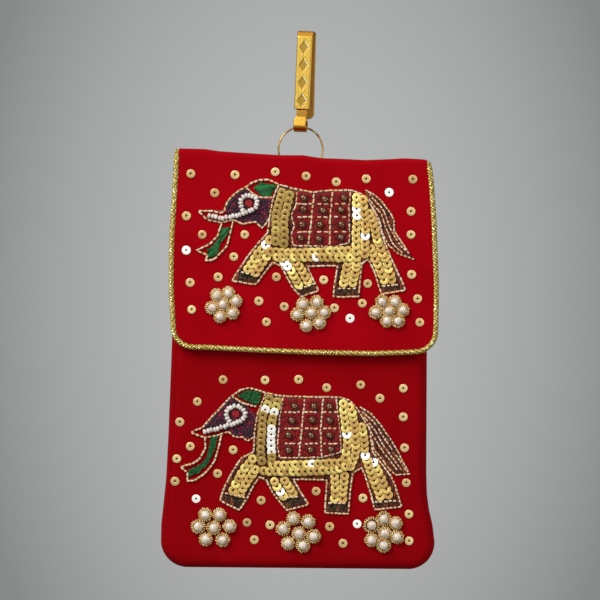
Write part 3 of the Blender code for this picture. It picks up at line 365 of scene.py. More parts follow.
def rod_faces(count, steps, sides, closed=False):
    """Faces of many rods: squares round each, and a flat face on each open end."""
    one = grid_faces(steps, sides, closed, True)
    starts = np.arange(count) * steps * sides
    groups = [(starts[:, None, None] + one).reshape(-1, 4)]
    if not closed:
        low = np.arange(sides)
        high = steps * sides - 1 - np.arange(sides)
        groups.append((starts[:, None, None] + np.stack([low, high])).reshape(-1, sides))
    return groups


def make_rods(name, paths, radius, sides, finish, body, closed=False, lean=True, **layers):
    """One piece of many rods; a layer given once a rod is spread over that rod's points."""
    paths = np.asarray(paths, float)
    count, steps = paths.shape[:2]
    points = tubes(paths, radius, sides, closed)
    if lean:
        points = leaned(points)
    spread = {}
    for layer, values in layers.items():
        values = np.asarray(values, float)
        if values.ndim == 1:
            values = np.repeat(values[:, None], steps, 1)
        spread[layer] = np.repeat(values.ravel(), sides)
    return make_piece(name, points, rod_faces(count, steps, sides, closed), finish, body, **spread)


brass = Finish("brass_wire", {"Metallic": 1.0, "Roughness": 0.3})
dull = brass.noise(3.0, 2.0)
tone = brass.mix(brass.between(dull, 0.4, 0.6), shade(136, 98, 46), shade(206, 172, 104))
brass.paint(Base_Color=tone, Roughness=0.22 + dull * 0.25)
brass.emboss(brass.noise(0.3, 2.0), 0.02, 0.5)
circle = arc((HANG_X, RING_LOW + RING_RADIUS), RING_RADIUS, 0, 360, 97)[:-1]
route = np.stack([circle[:, 0], 0 * circle[:, 0], circle[:, 1]], -1)[None]
ring = make_rods("brass_ring", route, RING_WIRE_RADIUS, 12, brass, "ring", closed=True, lean=False)
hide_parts("wire_ring")

# Tab: a strip of the pouch's red cloth folded round the ring, both its ends sewn flat on the back panel.
# From here on each piece is worked out upright and leaned back with the pouch.
HANG_LEAN = math.radians(3.3)
TAB_HALF = 2.75
TAB_CLOTH = 0.7
TAB_ROUND = 1.35
TAB_LOW = RING_LOW - 22.0
BACK_Y = -2.0


def leaned(points):
    """Upright points, measured across from the hang line, turned back about the ring's lowest point."""
    x, y, z = np.moveaxis(np.asarray(points, float), -1, 0)
    y, rise = turned(y, z - RING_LOW, HANG_LEAN)
    return np.stack([x + HANG_X, y, RING_LOW + rise], -1)


def cloth_finish(name, light, dark, weave=0.34):
    """Dyed cloth: a fine plain weave, as the product of a sine across and one up, with uneven threads, a
    broad shift in tone and a soft sheen."""
    cloth = Finish(name, {
        "Roughness": 0.85, "Specular IOR Level": 0.04, "Sheen Weight": 0.03, "Sheen Roughness": 0.5,
        "Sheen Tint": shade(255, 40, 40),
    })
    across, _, upright = cloth.split(cloth.place())
    turn = 2 * math.pi / weave
    warp = (across * turn).math("SINE")
    weft = (upright * turn).math("SINE")
    thread = (warp * weft) * 0.5 + 0.5
    uneven = cloth.noise(0.9, 3.0, (1, 1, 0.25))
    broad = cloth.noise(22.0, 2.0)
    tone = cloth.between(broad * 0.7 + uneven * 0.3, 0.3, 0.7)
    base = cloth.mix(tone, dark, light)
    cloth.paint(Base_Color=cloth.mix(thread * 0.16, base, dark))
    cloth.emboss(thread * 0.6 + uneven * 0.4, 0.05, 0.6)
    return cloth


# The pocket and tab take the flap's cloth painted darker, a painted shade for the lower part of the pouch,
# which gets less light.
red_cloth = cloth_finish("red_cloth", shade(152, 1, 11), shade(136, 0, 7))
inner_y = BACK_Y + TAB_CLOTH / 2
outer_y = inner_y + TAB_CLOTH + 0.05
line = walked(np.concatenate([
    [(inner_y, TAB_LOW), (inner_y, RING_LOW - TAB_ROUND - 0.05)],
    arc((0, RING_LOW), TAB_ROUND, 180, -55, 24),
    [(outer_y + 0.1, RING_LOW - 3.2), (outer_y, RING_LOW - 5.0), (outer_y, TAB_LOW)],
]), 0.4)
x, off, out, _, _ = bent_strip(line, np.full(len(line), TAB_HALF), TAB_CLOTH - 0.1, 9)
points = np.stack([x, line[:, :1] + out[:, :1] * off, line[:, 1:] + out[:, 1:] * off], -1)
tab = make_piece("cloth_tab", leaned(points), strip_faces(*x.shape), red_cloth, "pouch")
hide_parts("ring_tab")

# Pocket: two stiffened cloth halves, each with its edges rolled back to the side seam, so the pocket is a
# flat box with soft edges. A pressed line runs inside the edge of the front, for its row of stitches.
BODY_TOP = -56.574
BODY_LOW = -241.8
MOUTH_DROP = 2.4
FRONT_Y = -14.0
SEAM_Y = (BACK_Y + FRONT_Y) / 2
BODY_CORNER = 11.8
EDGE_ROLL = 5.0
PANEL_SPAN = 115.0
CLOTH = 1.2
TOP_SLOPE = math.tan(math.radians(3))
TOP_MIDDLE = 2.4


def body_sides(z):
    """The pocket's left and right edge at a height."""
    left_rises = [0, 12, 20, 28, 40, 60, 185.5]
    left_edge = [-62.9, -63.2, -63.0, -62.1, -60.8, -59.7, -54.6]
    right_rises = [0, 12, 20, 27, 34, 44, 185.5]
    right_edge = [60.4, 60.6, 59.6, 58.0, 57.1, 56.8, 57.2]
    rise = z - BODY_LOW
    return np.interp(rise, left_rises, left_edge), np.interp(rise, right_rises, right_edge)


def top_fall(x):
    """How far the sloping top lies below a level line through its middle."""
    return TOP_SLOPE * (x - TOP_MIDDLE)


def edge_spots(wide, roll, step):
    """Places from one edge (0) to the other (wide), close together where the cloth rolls over."""
    near = roll * (1 - np.cos(np.linspace(0, math.pi / 2, 9)))
    inner = np.linspace(roll, wide - roll, int((wide - 2 * roll) / step) + 2)[1:-1]
    return np.concatenate([near, inner, wide - near[::-1]])


def panel_grid(sides, low, top, corner, inwards=0.0, step=1.4):
    """A grid over an outline with two round bottom corners: rows go up from the bottom, their ends follow
    the corners and the sloped sides, and the top row follows the sloping mouth. Gives x, z and the distance
    in from the edge."""
    low = low + inwards
    corner = corner - inwards
    turn = corner * (1 - np.cos(np.linspace(0, math.pi / 2, 12)))
    rise = np.concatenate([turn, np.linspace(corner, top - low, int((top - low - corner) / step))[1:]])
    left, right = sides(low + rise)
    left = left + inwards
    right = right - inwards
    spots = edge_spots(PANEL_SPAN, EDGE_ROLL, step) / PANEL_SPAN
    draw = corner - np.sqrt(np.clip(corner**2 - np.clip(corner - rise, 0, None) ** 2, 0, None))
    first = left + draw
    last = right - draw
    x = first[:, None] + (last - first)[:, None] * spots
    share = np.clip((rise - 20) / (top - low - 20), 0, 1)[:, None]
    z = low + rise[:, None] - top_fall(x) * share
    tilt = 0.009 * x * np.clip(1 - rise / 30, 0, 1)[:, None]
    over = np.clip(left[:, None] + corner - x, 0, None) + np.clip(x - right[:, None] + corner, 0, None)
    under = np.clip(low + corner - z, 0, None)
    straight = np.minimum(x - left[:, None], right[:, None] - x)
    straight = np.minimum(straight, rise[:, None])
    return x, z - tilt, np.where((over > 0) & (under > 0), corner - np.hypot(over, under), straight)


def rolled(distance, depth, roll=EDGE_ROLL):
    """How far the face stands out from the seam: a quarter ellipse over the rolled edge, then flat."""
    left = 1 - np.clip(distance / roll, 0, 1)
    return depth * np.sqrt(1 - left**2)


def slack(x, z, seed):
    """Soft waves of stiffened cloth, up to a third of a millimetre: the sum of three slanting sines."""
    a = np.sin(x * 0.071 + z * 0.043 + seed) + np.sin(x * 0.031 - z * 0.083 + 2.1 * seed)
    b = np.sin(x * 0.157 + z * 0.021 + 3.7 * seed) * 0.5
    return 0.13 * (a + b)


def front_face(x, z):
    """The depth of the pocket's front away from its rolled edges."""
    return FRONT_Y + 0.9 * slack(x, z, 1.0)


def thicken(piece, thickness):
    """Gives an open sheet its wall, grown inwards from its face."""
    wall = piece.modifiers.new("Wall", "SOLIDIFY")
    wall.thickness = thickness * MM
    wall.offset = -1


def make_half(name, node, top, outer_y, seed):
    """One half of the pocket: its face stands out from the seam by the rolled edge, less two pressed lines,
    plus the cloth's slack."""
    x, z, distance = panel_grid(body_sides, BODY_LOW, top, BODY_CORNER)
    towards = 1 if outer_y > SEAM_Y else -1
    depth = abs(outer_y - SEAM_Y) - 0.15
    calm = np.clip((distance - 3) / 12, 0, 1)
    crease = -0.45 * np.exp(-(((distance - 4.6) / 0.6) ** 2)) * (z < BODY_LOW + 30)
    crease = crease - 0.3 * np.exp(-(((distance - 2.2) / 0.35) ** 2))
    y = SEAM_Y + towards * (0.15 + rolled(distance, depth) + crease) + 0.9 * slack(x, z, seed) * calm
    faces = grid_faces(*x.shape)
    faces = faces[:, ::-1] if towards < 0 else faces
    points = leaned(np.stack([x, y, z], -1))
    half = make_piece(name, points, [faces], red_cloth, "pouch")
    thicken(half, CLOTH)
    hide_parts(node)
    return half


cloth_back = make_half("cloth_back", "back_panel", BODY_TOP, BACK_Y, 2.3)
cloth_front = make_half("cloth_front", "front_panel", BODY_TOP - MOUTH_DROP, FRONT_Y, 1.0)

# Seam stitches: short stitches of matching red thread along the front's sides and bottom, sunk in the
# outer pressed line, their ends dipping into the cloth.
STITCH_INSET = 2.2
x, z, distance = panel_grid(body_sides, BODY_LOW, BODY_TOP - MOUTH_DROP, BODY_CORNER, STITCH_INSET)
spots = np.stack([x, z], -1)
border = np.concatenate([spots[::-1, 0], spots[0, 1:-1], spots[:, -1]])
stitch_y = SEAM_Y - rolled(STITCH_INSET, SEAM_Y - FRONT_Y - 0.15) - 0.1


def pieces_along(line, length, gap):
    """Short runs laid end to end along a line: the start and end distance of each."""
    total = np.linalg.norm(np.diff(line, axis=0), axis=1).sum()
    count = max(int(total / (length + gap)), 1)
    starts = (np.arange(count) + 0.5) * total / count - length / 2
    return np.stack([starts, starts + length], -1)


def runs_on(line, spans, steps):
    """Points along a line between the start and end distance of each span, each span in equal steps."""
    line = np.asarray(line, float)
    far = np.concatenate([[0], np.cumsum(np.linalg.norm(np.diff(line, axis=0), axis=1))])
    share = np.linspace(0, 1, steps)
    spots = spans[:, :1] + (spans[:, 1:] - spans[:, :1]) * share
    return np.stack([np.interp(spots, far, line[:, i]) for i in range(2)], -1)


thread = cloth_finish("red_thread", shade(146, 1, 12), shade(120, 0, 8), 0.2)
flat = runs_on(border, pieces_along(border, 2.0, 0.9), 5)
paths = np.stack([flat[..., 0], np.full(flat.shape[:2], stitch_y), flat[..., 1]], -1)
paths[:, [0, -1], 1] += 0.3
make_rods("seam_stitches", paths, 0.13, 6, thread, "pouch")

# Pocket bag: a thin dark red lining, sewn to a flat tube with a closed bottom. It is sewn in below the
# mouth and hangs free inside the two halves.
BAG_INSET = 5.2
BAG_HALF_DEPTH = 4.0
BAG_HEIGHT = 175.5
LINING = 0.4
BAG_SIDES = 96
lining_cloth = cloth_finish("lining_cloth", shade(124, 6, 16), shade(98, 2, 10), 0.25)


def squared(wave):
    """A sine or cosine pushed out towards 1 and -1: its size to the power 0.35, with its own sign."""
    return np.sign(wave) * np.abs(wave) ** 0.35


turn = BAG_HALF_DEPTH * (1 - np.cos(np.linspace(0, math.pi / 2, 9)))
rise = np.concatenate([turn, np.linspace(BAG_HALF_DEPTH, BAG_HEIGHT, 90)[1:]])
left, right = body_sides(BODY_LOW + BAG_INSET + rise)
angle = np.linspace(0, 2 * math.pi, BAG_SIDES + 1)[:-1]
end = np.sqrt(1 - (1 - np.clip(rise / BAG_HALF_DEPTH, 0.02, 1)) ** 2)[:, None]
wide = (right - left)[:, None] / 2 - BAG_INSET
x = (left + right)[:, None] / 2 + (wide - BAG_HALF_DEPTH * (1 - end)) * squared(np.cos(angle))
y = SEAM_Y + BAG_HALF_DEPTH * end * squared(np.sin(angle))
z = BODY_LOW + BAG_INSET + rise[:, None] - top_fall(x) * np.clip(rise / 175, 0, 1)[:, None]
bag_faces = [grid_faces(*x.shape, wrap_columns=True)[:, ::-1], np.arange(BAG_SIDES)[None, ::-1]]
bag = make_piece("pocket_bag", leaned(np.stack([x, y, z], -1)), bag_faces, lining_cloth, "pouch")
thicken(bag, LINING)
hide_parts("pocket_lining")

# Flap: one piece of stiffened red cloth sewn behind the mouth, creased over the top and hanging down the
# front. It is made as two runs that meet in the middle of the top, since each crease is a fold of its own.
FOLD_TOP = -54.974
FLAP_LOW = -144.574
FLAP_LENGTH = 89.6
FLAP_FRONT = -18.4
FLAP_CORNER = 10.0
FLAP_CLOTH = 1.0
FRONT_CREASE_Y = -16.9
BACK_CREASE_Y = -2.7
CREASE_Z = -55.499
FOLD_RADIUS = 1.6
CORD_INSET = 2.0


def flap_sides(z):
    """The flap's left and right edge at a height, outside its cord."""
    rise = z - FLAP_LOW
    left = np.interp(rise, [0, 12, 30, 50, FLAP_LENGTH], [-57.7, -58.4, -59.3, -59.1, -56.6])
    right = np.interp(rise, [0, 30, 60, 76, 84, FLAP_LENGTH], [61.7, 62.2, 61.0, 59.9, 59.1, 58.6])
    return left, right


def hem_rise(x, z):
    """How far the flap's lower edge lies above a level line, fading out further up the flap."""
    spots = [-60, -42, -20, 5, 33, 46, 60]
    rises = [2.9, 2.4, 1.2, 0.1, -0.5, 0.0, 0.8]
    return np.interp(x, spots, rises) * np.clip(1 - (z - FLAP_LOW) / 30, 0, 1)


def top_wave(x):
    """How far the top edge rises and falls where the crease isn't pressed straight."""
    spots = [-57, -43.1, -36.3, -22, -9.3, 1.0, 9.5, 20, 29, 38, 46, 55, 60]
    rises = [-0.2, 0.3, -0.6, -0.9, -1.1, -0.3, -1.7, -1.4, -1.4, -0.2, 0.9, 0.9, 0.2]
    return np.interp(x, spots, rises)


def flap_face(x, z):
    """The depth of the flap's front."""
    return FLAP_FRONT + 0.8 * slack(x, z, 4.0)


# The flap's cloth is the pocket's cloth painted lighter: painted light on the higher part of the pouch.
flap_cloth = cloth_finish("flap_cloth", shade(166, 1, 15), shade(150, 0, 10))
x, z, distance = panel_grid(flap_sides, FLAP_LOW, FOLD_TOP - FOLD_RADIUS, FLAP_CORNER, CORD_INSET)
y = FLAP_FRONT + np.clip((distance - 1) / 8, 0, 1) * 0.8 * slack(x, z, 4.0)
y = y + 0.25 * (1 - np.clip(distance / 1.2, 0, 1)) ** 2
fade = np.clip(1 - (FOLD_TOP - z - top_fall(x)) / 12, 0, 1)
hanging = np.stack([x, y, z + hem_rise(x, z) + top_wave(x) * fade], -1)
over = arc((FOLD_RADIUS, 0), FOLD_RADIUS, 170, 90, 8)
over = np.concatenate([over, [(3.5, FOLD_RADIUS), (5.5, FOLD_RADIUS), (8.4, FOLD_RADIUS)]])
over = np.stack([0 * over[:, 0], over[:, 0], over[:, 1]], -1)
folded = hanging[-1] + over[:, None]
points = leaned(np.concatenate([hanging, folded]))
flap = make_piece("cloth_flap", points, [grid_faces(*points.shape[:2])[:, ::-1]], flap_cloth)
thicken(flap, FLAP_CLOTH)
above = leaned([0, FRONT_CREASE_Y, CREASE_Z + 0.8]) * MM
below = leaned([0, FRONT_CREASE_Y - 1.1, CREASE_Z - 1.6]) * MM
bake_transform(flap)
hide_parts("flap_panel")

back_path = np.concatenate([
    [(-2.75, -59.4), (BACK_CREASE_Y, -58.0)], arc((-3.55, -56.3), 1.3, 0, 90, 8),
    [(-5.5, FOLD_TOP), (-7.5, FOLD_TOP)], [(folded[-1, :, 1].mean(), FOLD_TOP)],
])
x = np.repeat(x[-1:], len(back_path), 0)
settle = np.linspace(0, 1, len(back_path))[:, None]
z = back_path[:, 1:] - top_fall(x) + top_wave(x) * settle
points = np.stack([x, back_path[:, :1] + 0 * x, z], -1)
points[-1] = folded[-1]
strip = make_piece("cloth_top", leaned(points), [grid_faces(*x.shape)], flap_cloth)
thicken(strip, FLAP_CLOTH)
below = leaned([0, BACK_CREASE_Y, CREASE_Z - 1.8]) * MM
above = leaned([0, BACK_CREASE_Y - 0.9, CREASE_Z + 0.6]) * MM
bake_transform(strip)
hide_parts("top_strip")

# Flap lining: a thin dark red sheet sewn behind the hanging leaf, a little inside its cord and short of
# the crease.
x, z, distance = panel_grid(flap_sides, FLAP_LOW, FOLD_TOP - 2.6, FLAP_CORNER, CORD_INSET + 0.4)
points = np.stack([x, -16.65 + 0 * x, z + hem_rise(x, z)], -1)
back_sheet = make_piece("flap_back_sheet", leaned(points), [grid_faces(*x.shape)], lining_cloth, "flap")
thicken(back_sheet, LINING)
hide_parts("flap_lining")

# Piping: three strands wrapped with gold thread, twisted into one cord and sewn down round three sides of
# the leaf, thin at its two ends where they are tucked under the crease.
CORD_RADIUS = 1.3
CORD_Y = -17.9
STRAND_RADIUS = 0.66
CORD_PITCH = 4.2
STRAND_TURN = 0.95
rise = np.linspace(FLAP_LENGTH, FLAP_CORNER, 12)
left, right = flap_sides(FLAP_LOW + rise)
turn = FLAP_CORNER - CORD_RADIUS
low = FLAP_LOW + FLAP_CORNER
down_left = np.stack([left + CORD_RADIUS, FLAP_LOW + rise], -1)
down_right = np.stack([right - CORD_RADIUS, FLAP_LOW + rise], -1)
down_left[0, 1] -= top_fall(left[0])
down_right[0, 1] -= top_fall(right[0])
round_left = arc((left[-1] + FLAP_CORNER, low), turn, 180, 270, 16)
round_right = arc((right[-1] - FLAP_CORNER, low), turn, 270, 360, 16)
middle = np.concatenate([down_left[:-1], round_left, round_right, down_right[-2::-1]])
middle = walked(middle, CORD_PITCH / 12)
middle[:, 1] += hem_rise(middle[:, 0], middle[:, 1])
along = np.gradient(middle, axis=0)
along /= np.linalg.norm(along, axis=1, keepdims=True)
phase = (np.arange(len(middle)) / 12 + np.arange(3)[:, None] / 3) * 2 * math.pi
sway = (CORD_RADIUS - STRAND_RADIUS) * np.cos(phase)
lift = (CORD_RADIUS - STRAND_RADIUS) * np.sin(phase)
across = middle[:, 0] - along[:, 1] * sway
upright = middle[:, 1] + along[:, 0] * sway
strands = np.stack([across, CORD_Y + lift, upright], -1)
braid = Finish("gold_braid", {"Metallic": 0.8})
glint = braid.noise(0.75, 3.0)
patch = braid.noise(0.5, 2.0)
wrap = (braid.layer("along") * (2 * math.pi / STRAND_TURN)).math("SINE") * 0.5 + 0.5
pale = braid.between(patch * 0.8 + wrap * 0.3, 0.35, 0.75)
gold = braid.mix(pale, shade(140, 112, 38), shade(222, 198, 96))
braid.paint(
    Base_Color=braid.mix(braid.between(glint, 0.55, 0.63), gold, shade(255, 248, 196)),
    Roughness=0.5 - braid.between(glint, 0.5, 0.62) * 0.28,
)
braid.emboss(wrap * 0.5 + patch * 0.8, 0.25, 1.0)
wound = np.tile(np.arange(len(middle)) * CORD_PITCH / 12, (3, 1))
reach = STRAND_RADIUS * np.clip(np.minimum(wound, wound[:, ::-1]) / 5 + 0.35, 0, 1)
cord = make_rods("gold_piping", strands, reach, 9, braid, "flap", along=wound)
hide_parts("flap_piping")

# Press stud: two pressed brass discs that snap together, the socket sewn on the pocket's front and the one
# with the ball on the flap's lining. Both keep their own meshes and take the ring's dull brass.
for node in ("snap_socket", "snap_stud"):
    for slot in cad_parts[node].material_slots:
        slot.material = brass.material

# Beadwork drawings: each elephant's lines in millimetres across and up from its own middle, as they were
# drawn on the cloth before sewing. The upper one is sewn on the flap and the lower one on the pocket.
UPPER = {
    "body": [
        (-9.5, 25.2), (-1.8, 22.9), (5.9, 21.6), (12.6, 22.5), (23.4, 22.5), (27.9, 20.7), (31.2, 17.0),
        (33.6, 12.2), (36.8, 2.1), (40.8, -8.0), (45.2, -17.2), (47.2, -22.2), (36.5, -24.0),
        (34.8, -18.4), (33.2, -13.6), (30.6, -8.0), (27.6, -10.2), (26.8, -17.6), (26.4, -25.2),
        (14.9, -25.2), (15.5, -19.2), (16.9, -11.2), (3.1, -11.4), (4.7, -15.2), (8.3, -22.3),
        (0.6, -25.2), (-3.8, -20.4), (-6.2, -15.6), (-8.6, -11.2), (-12.3, -9.7), (-16.1, -14.6),
        (-19.9, -19.8), (-30.6, -17.9), (-27.0, -12.4), (-23.8, -7.5), (-19.4, -2.0), (-14.4, 3.6),
        (-13.3, 12.6), (-11.9, 19.4),
    ],
    "forehead": [
        (-34.0, 13.1), (-32.9, 16.7), (-30.6, 19.8), (-27.0, 22.7), (-24.3, 23.9), (-21.6, 25.9),
        (-18.9, 27.0), (-14.4, 27.4), (-9.5, 25.2),
    ],
    "crown_line": [(-24.3, 23.9), (-20.7, 20.7), (-18.0, 19.4), (-11.9, 19.4)],
    "jaw": [(-29.9, 9.5), (-25.7, 7.4), (-20.0, 8.6), (-17.1, 5.4), (-13.5, 10.3)],
    "tusk": [
        (-34.0, 13.1), (-36.0, 12.4), (-39.1, 13.3), (-45.5, 13.3), (-41.9, 9.5), (-35.1, 8.1), (-29.9, 9.5),
    ],
    "trunk": [
        (-35.1, 8.1), (-36.9, 2.2), (-40.1, -1.4), (-46.6, -4.5), (-41.4, -6.5), (-42.6, -9.2), (-38.5, -8.4),
        (-32.9, -2.7), (-31.5, 2.2), (-29.9, 9.5),
    ],
    "trunk_field": [
        (-34.9, 5.6), (-31.1, 6.2), (-32.5, 2.9), (-35.7, -1.5), (-36.5, -4.8), (-39.0, -7.5), (-41.7, -8.0),
        (-41.2, -5.9), (-42.0, -4.2), (-39.0, -2.6), (-36.3, 1.5),
    ],
    "crown_field": [(-21.0, 23.6), (-17.7, 26.1), (-10.6, 24.7), (-12.3, 21.7), (-13.6, 19.5), (-17.7, 20.3)],
    "blanket": [
        (-1.4, 20.9), (-1.8, 15.8), (-4.0, 11.7), (-2.5, 6.3), (-4.0, 2.7), (-3.1, -2.2), (15.8, -2.7),
        (22.1, -0.9), (22.1, 4.5), (21.8, 15.8), (22.5, 20.3), (22.4, 22.0), (13.5, 22.0), (5.9, 21.1),
        (-1.6, 22.4),
    ],
    "columns": [[(6.3, 21.2), (5.0, 9.0), (3.6, -2.2)], [(14.4, 21.8), (13.5, 9.0), (13.2, -2.4)]],
    "rows": [16.4, 10.6, 3.9],
    "glass_beads": [
        (1.6, 19.2), (11.1, 18.6), (19.7, 19.2), (1.5, 14.2), (10.2, 13.6), (18.3, 13.9), (0.9, 7.3),
        (8.9, 7.3), (18.5, 7.3), (0.2, 1.3), (8.3, 0.9), (18.2, 1.5),
    ],
    "white_beads": [
        (-40.5, 11.2), (-35.1, 10.1), (-30.2, 10.8), (-24.8, 12.4), (-21.6, 13.7), (-19.6, 15.3),
        (-19.1, 17.6), (-20.4, 19.6), (-22.6, 20.5), (-25.0, 19.8), (-26.6, 18.0), (-26.6, 15.7),
    ],
    "eye": (-22.9, 16.7),
    "hooves": [
        [(-26.8, -14.0), (-18.4, -15.8), (-20.6, -18.4), (-28.0, -17.2)],
        [(-0.5, -21.8), (7.2, -18.9), (6.6, -21.4), (1.0, -23.7)],
        [(16.6, -21.4), (25.4, -21.4), (25.2, -24.0), (16.2, -24.0)],
        [(36.6, -20.4), (44.4, -19.6), (45.4, -21.4), (37.2, -22.6)],
    ],
}
LOWER = {
    "body": [
        (-10.8, 21.2), (-3.6, 19.8), (9.0, 19.4), (22.7, 19.2), (26.9, 17.8), (30.3, 14.0), (35.8, 5.0),
        (37.2, -5.3), (41.3, -10.8), (45.5, -16.3), (47.5, -21.1), (50.3, -30.2), (38.2, -31.5),
        (36.5, -24.6), (34.4, -17.7), (32.4, -12.4), (28.3, -14.9), (27.5, -19.8), (26.2, -33.5),
        (15.8, -32.9), (16.2, -25.2), (16.7, -18.0), (1.4, -17.7), (4.1, -22.5), (8.3, -29.2),
        (-1.5, -31.8), (-7.7, -23.9), (-10.8, -17.8), (-13.9, -16.7), (-16.7, -21.1), (-19.4, -26.6),
        (-22.9, -31.8), (-31.5, -27.3), (-29.7, -21.8), (-26.3, -14.9), (-21.8, -8.1), (-16.2, -5.4),
        (-16.0, 3.7), (-14.6, 11.9),
    ],
    "forehead": [
        (-39.4, 5.6), (-36.0, 9.5), (-31.1, 14.7), (-26.3, 19.8), (-22.2, 22.6), (-18.0, 23.6),
        (-10.8, 21.2),
    ],
    "crown_line": [(-26.3, 19.8), (-20.8, 16.4), (-14.6, 14.9)],
    "jaw": [(-27.7, 3.8), (-24.9, 1.3), (-21.2, 1.3), (-19.1, -0.5), (-16.0, 1.4)],
    "tusk": [(-39.4, 5.6), (-44.6, 3.3), (-38.2, 1.0), (-33.2, 2.0), (-27.7, 3.8)],
    "trunk": [
        (-38.2, 1.0), (-38.0, -3.9), (-40.8, -8.7), (-44.2, -10.8), (-49.4, -12.2), (-45.9, -14.9),
        (-46.4, -18.7), (-42.8, -18.2), (-38.0, -14.9), (-34.2, -10.1), (-32.5, -4.6), (-30.8, 2.6),
    ],
    "trunk_field": [
        (-35.6, 1.6), (-32.5, 1.9), (-33.9, -4.6), (-37.0, -10.8), (-41.1, -14.9), (-45.9, -16.7),
        (-45.3, -13.5), (-40.8, -11.2), (-37.4, -7.3), (-36.3, -2.5),
    ],
    "crown_field": [(-23.5, 19.8), (-20.5, 21.9), (-16.0, 22.3), (-12.5, 20.9), (-13.9, 16.1), (-16.7, 16.4)],
    "blanket": [
        (-3.2, 17.8), (-4.6, 10.6), (-5.6, -3.2), (-4.7, -8.1), (8.1, -7.9), (13.8, -7.9), (22.9, -5.6),
        (22.7, 3.7), (21.7, 10.6), (20.9, 17.6), (20.9, 18.9), (9.0, 19.0), (-3.4, 19.4),
    ],
    "columns": [[(6.7, 18.8), (5.2, 3.7), (4.0, -7.6)], [(14.9, 18.8), (13.8, 3.7), (14.2, -7.6)]],
    "rows": [12.6, 5.2, -1.6],
    "glass_beads": [
        (2.1, 15.4), (10.8, 15.4), (17.8, 15.3), (0.8, 9.0), (10.0, 9.2), (17.8, 9.0), (-0.7, 2.4),
        (9.6, 2.2), (17.8, 2.2), (-0.6, -4.5), (9.3, -4.3), (18.4, -4.1),
    ],
    "white_beads": [
        (-38.2, 3.8), (-32.9, 5.2), (-27.4, 6.8), (-22.1, 8.6), (-20.2, 10.6), (-20.5, 13.1), (-22.3, 14.8),
        (-24.8, 15.5), (-27.2, 14.6), (-28.6, 12.6), (-28.4, 10.3),
    ],
    "eye": (-24.4, 11.9),
    "hooves": [
        [(-29.4, -23.8), (-19.9, -26.0), (-22.6, -29.6), (-29.6, -26.6)],
        [(-4.2, -26.0), (4.0, -25.4), (6.2, -28.4), (-0.9, -30.5)],
        [(17.2, -28.4), (25.3, -28.4), (25.0, -32.0), (17.0, -31.7)],
        [(38.0, -28.0), (48.2, -27.3), (48.7, -28.9), (38.6, -30.0)],
    ],
}

FLOWERS = {
    "upper_flower_1": [
        (-34.7, -28.5), (-2.7, 4.1), (2.6, 5.1), (5.9, 1.5), (4.3, -3.9), (-1.2, -5.5), (-4.7, -1.5),
    ],
    "upper_flower_2": [
        (5.0, -32.2), (-3.8, 3.8), (2.5, 4.7), (5.8, 0.1), (3.6, -4.6), (-2.2, -5.8), (-6.3, -0.9),
    ],
    "upper_flower_3": [
        (39.8, -31.4), (-3.0, 4.1), (2.6, 4.1), (6.3, 0.3), (4.1, -4.6), (-0.9, -4.6), (-5.9, -0.7),
    ],
    "lower_flower_1": [
        (-34.4, -39.7), (-3.8, 5.9), (2.6, 5.9), (7.2, 0.7), (4.0, -5.5), (-3.6, -5.2), (-6.9, 0.6),
    ],
    "lower_flower_2": [
        (4.0, -42.3), (-2.5, 6.8), (4.2, 5.4), (6.6, -1.2), (1.8, -5.4), (-4.9, -4.3), (-7.1, 2.2),
    ],
    "lower_flower_3": [
        (42.7, -42.1), (-0.4, 6.5), (4.8, 4.5), (5.5, -1.8), (-0.5, -5.5), (-5.9, -3.1), (-5.9, 3.6),
    ],
}

SINGLES = {}
SINGLES["upper"] = [
    (-48.9, 30.0), (-29.1, 29.5), (-11.1, 30.8), (2.7, 28.9), (16.2, 26.3), (29.6, 27.7), (50.5, 27.5),
    (-38.2, 21.4), (39.9, 21.6), (49.7, 13.1), (-50.9, 11.1), (-43.8, 2.7), (-24.8, 2.7), (49.7, 2.7),
    (-51.0, -4.3), (-29.7, -7.2), (50.0, -15.2), (-36.7, -16.3), (-10.6, -16.3), (10.6, -17.6),
    (-49.3, -18.8), (30.3, -19.3), (52.7, -26.1), (-18.5, -27.1), (27.9, -28.1), (-7.1, -29.6),
    (15.4, -30.2), (-48.6, -30.9), (22.4, -34.9), (-15.1, -36.5), (53.7, -36.7),
]
SINGLES["lower"] = [
    (-30.1, 27.2), (-11.2, 27.0), (3.9, 27.3), (16.5, 23.6), (31.8, 24.9), (51.0, 23.3), (40.5, 18.8),
    (-41.7, 17.3), (51.0, 10.4), (-49.6, 8.1), (-44.9, -2.9), (51.6, -3.6), (-25.6, -4.5), (-51.0, -8.5),
    (-32.6, -15.2), (-51.8, -18.7), (52.4, -19.4), (11.8, -23.2), (32.9, -26.3), (-42.3, -26.6),
    (-13.0, -27.3), (53.6, -33.6), (-19.4, -37.4), (30.3, -38.0), (-9.0, -38.5), (17.9, -39.2),
    (-16.1, -45.2), (53.7, -45.7), (23.9, -46.8),
]


# How many of the blanket's corners its wire follows: the elephant's back closes it.
UPPER["hem_corners"] = 11
LOWER["hem_corners"] = 10

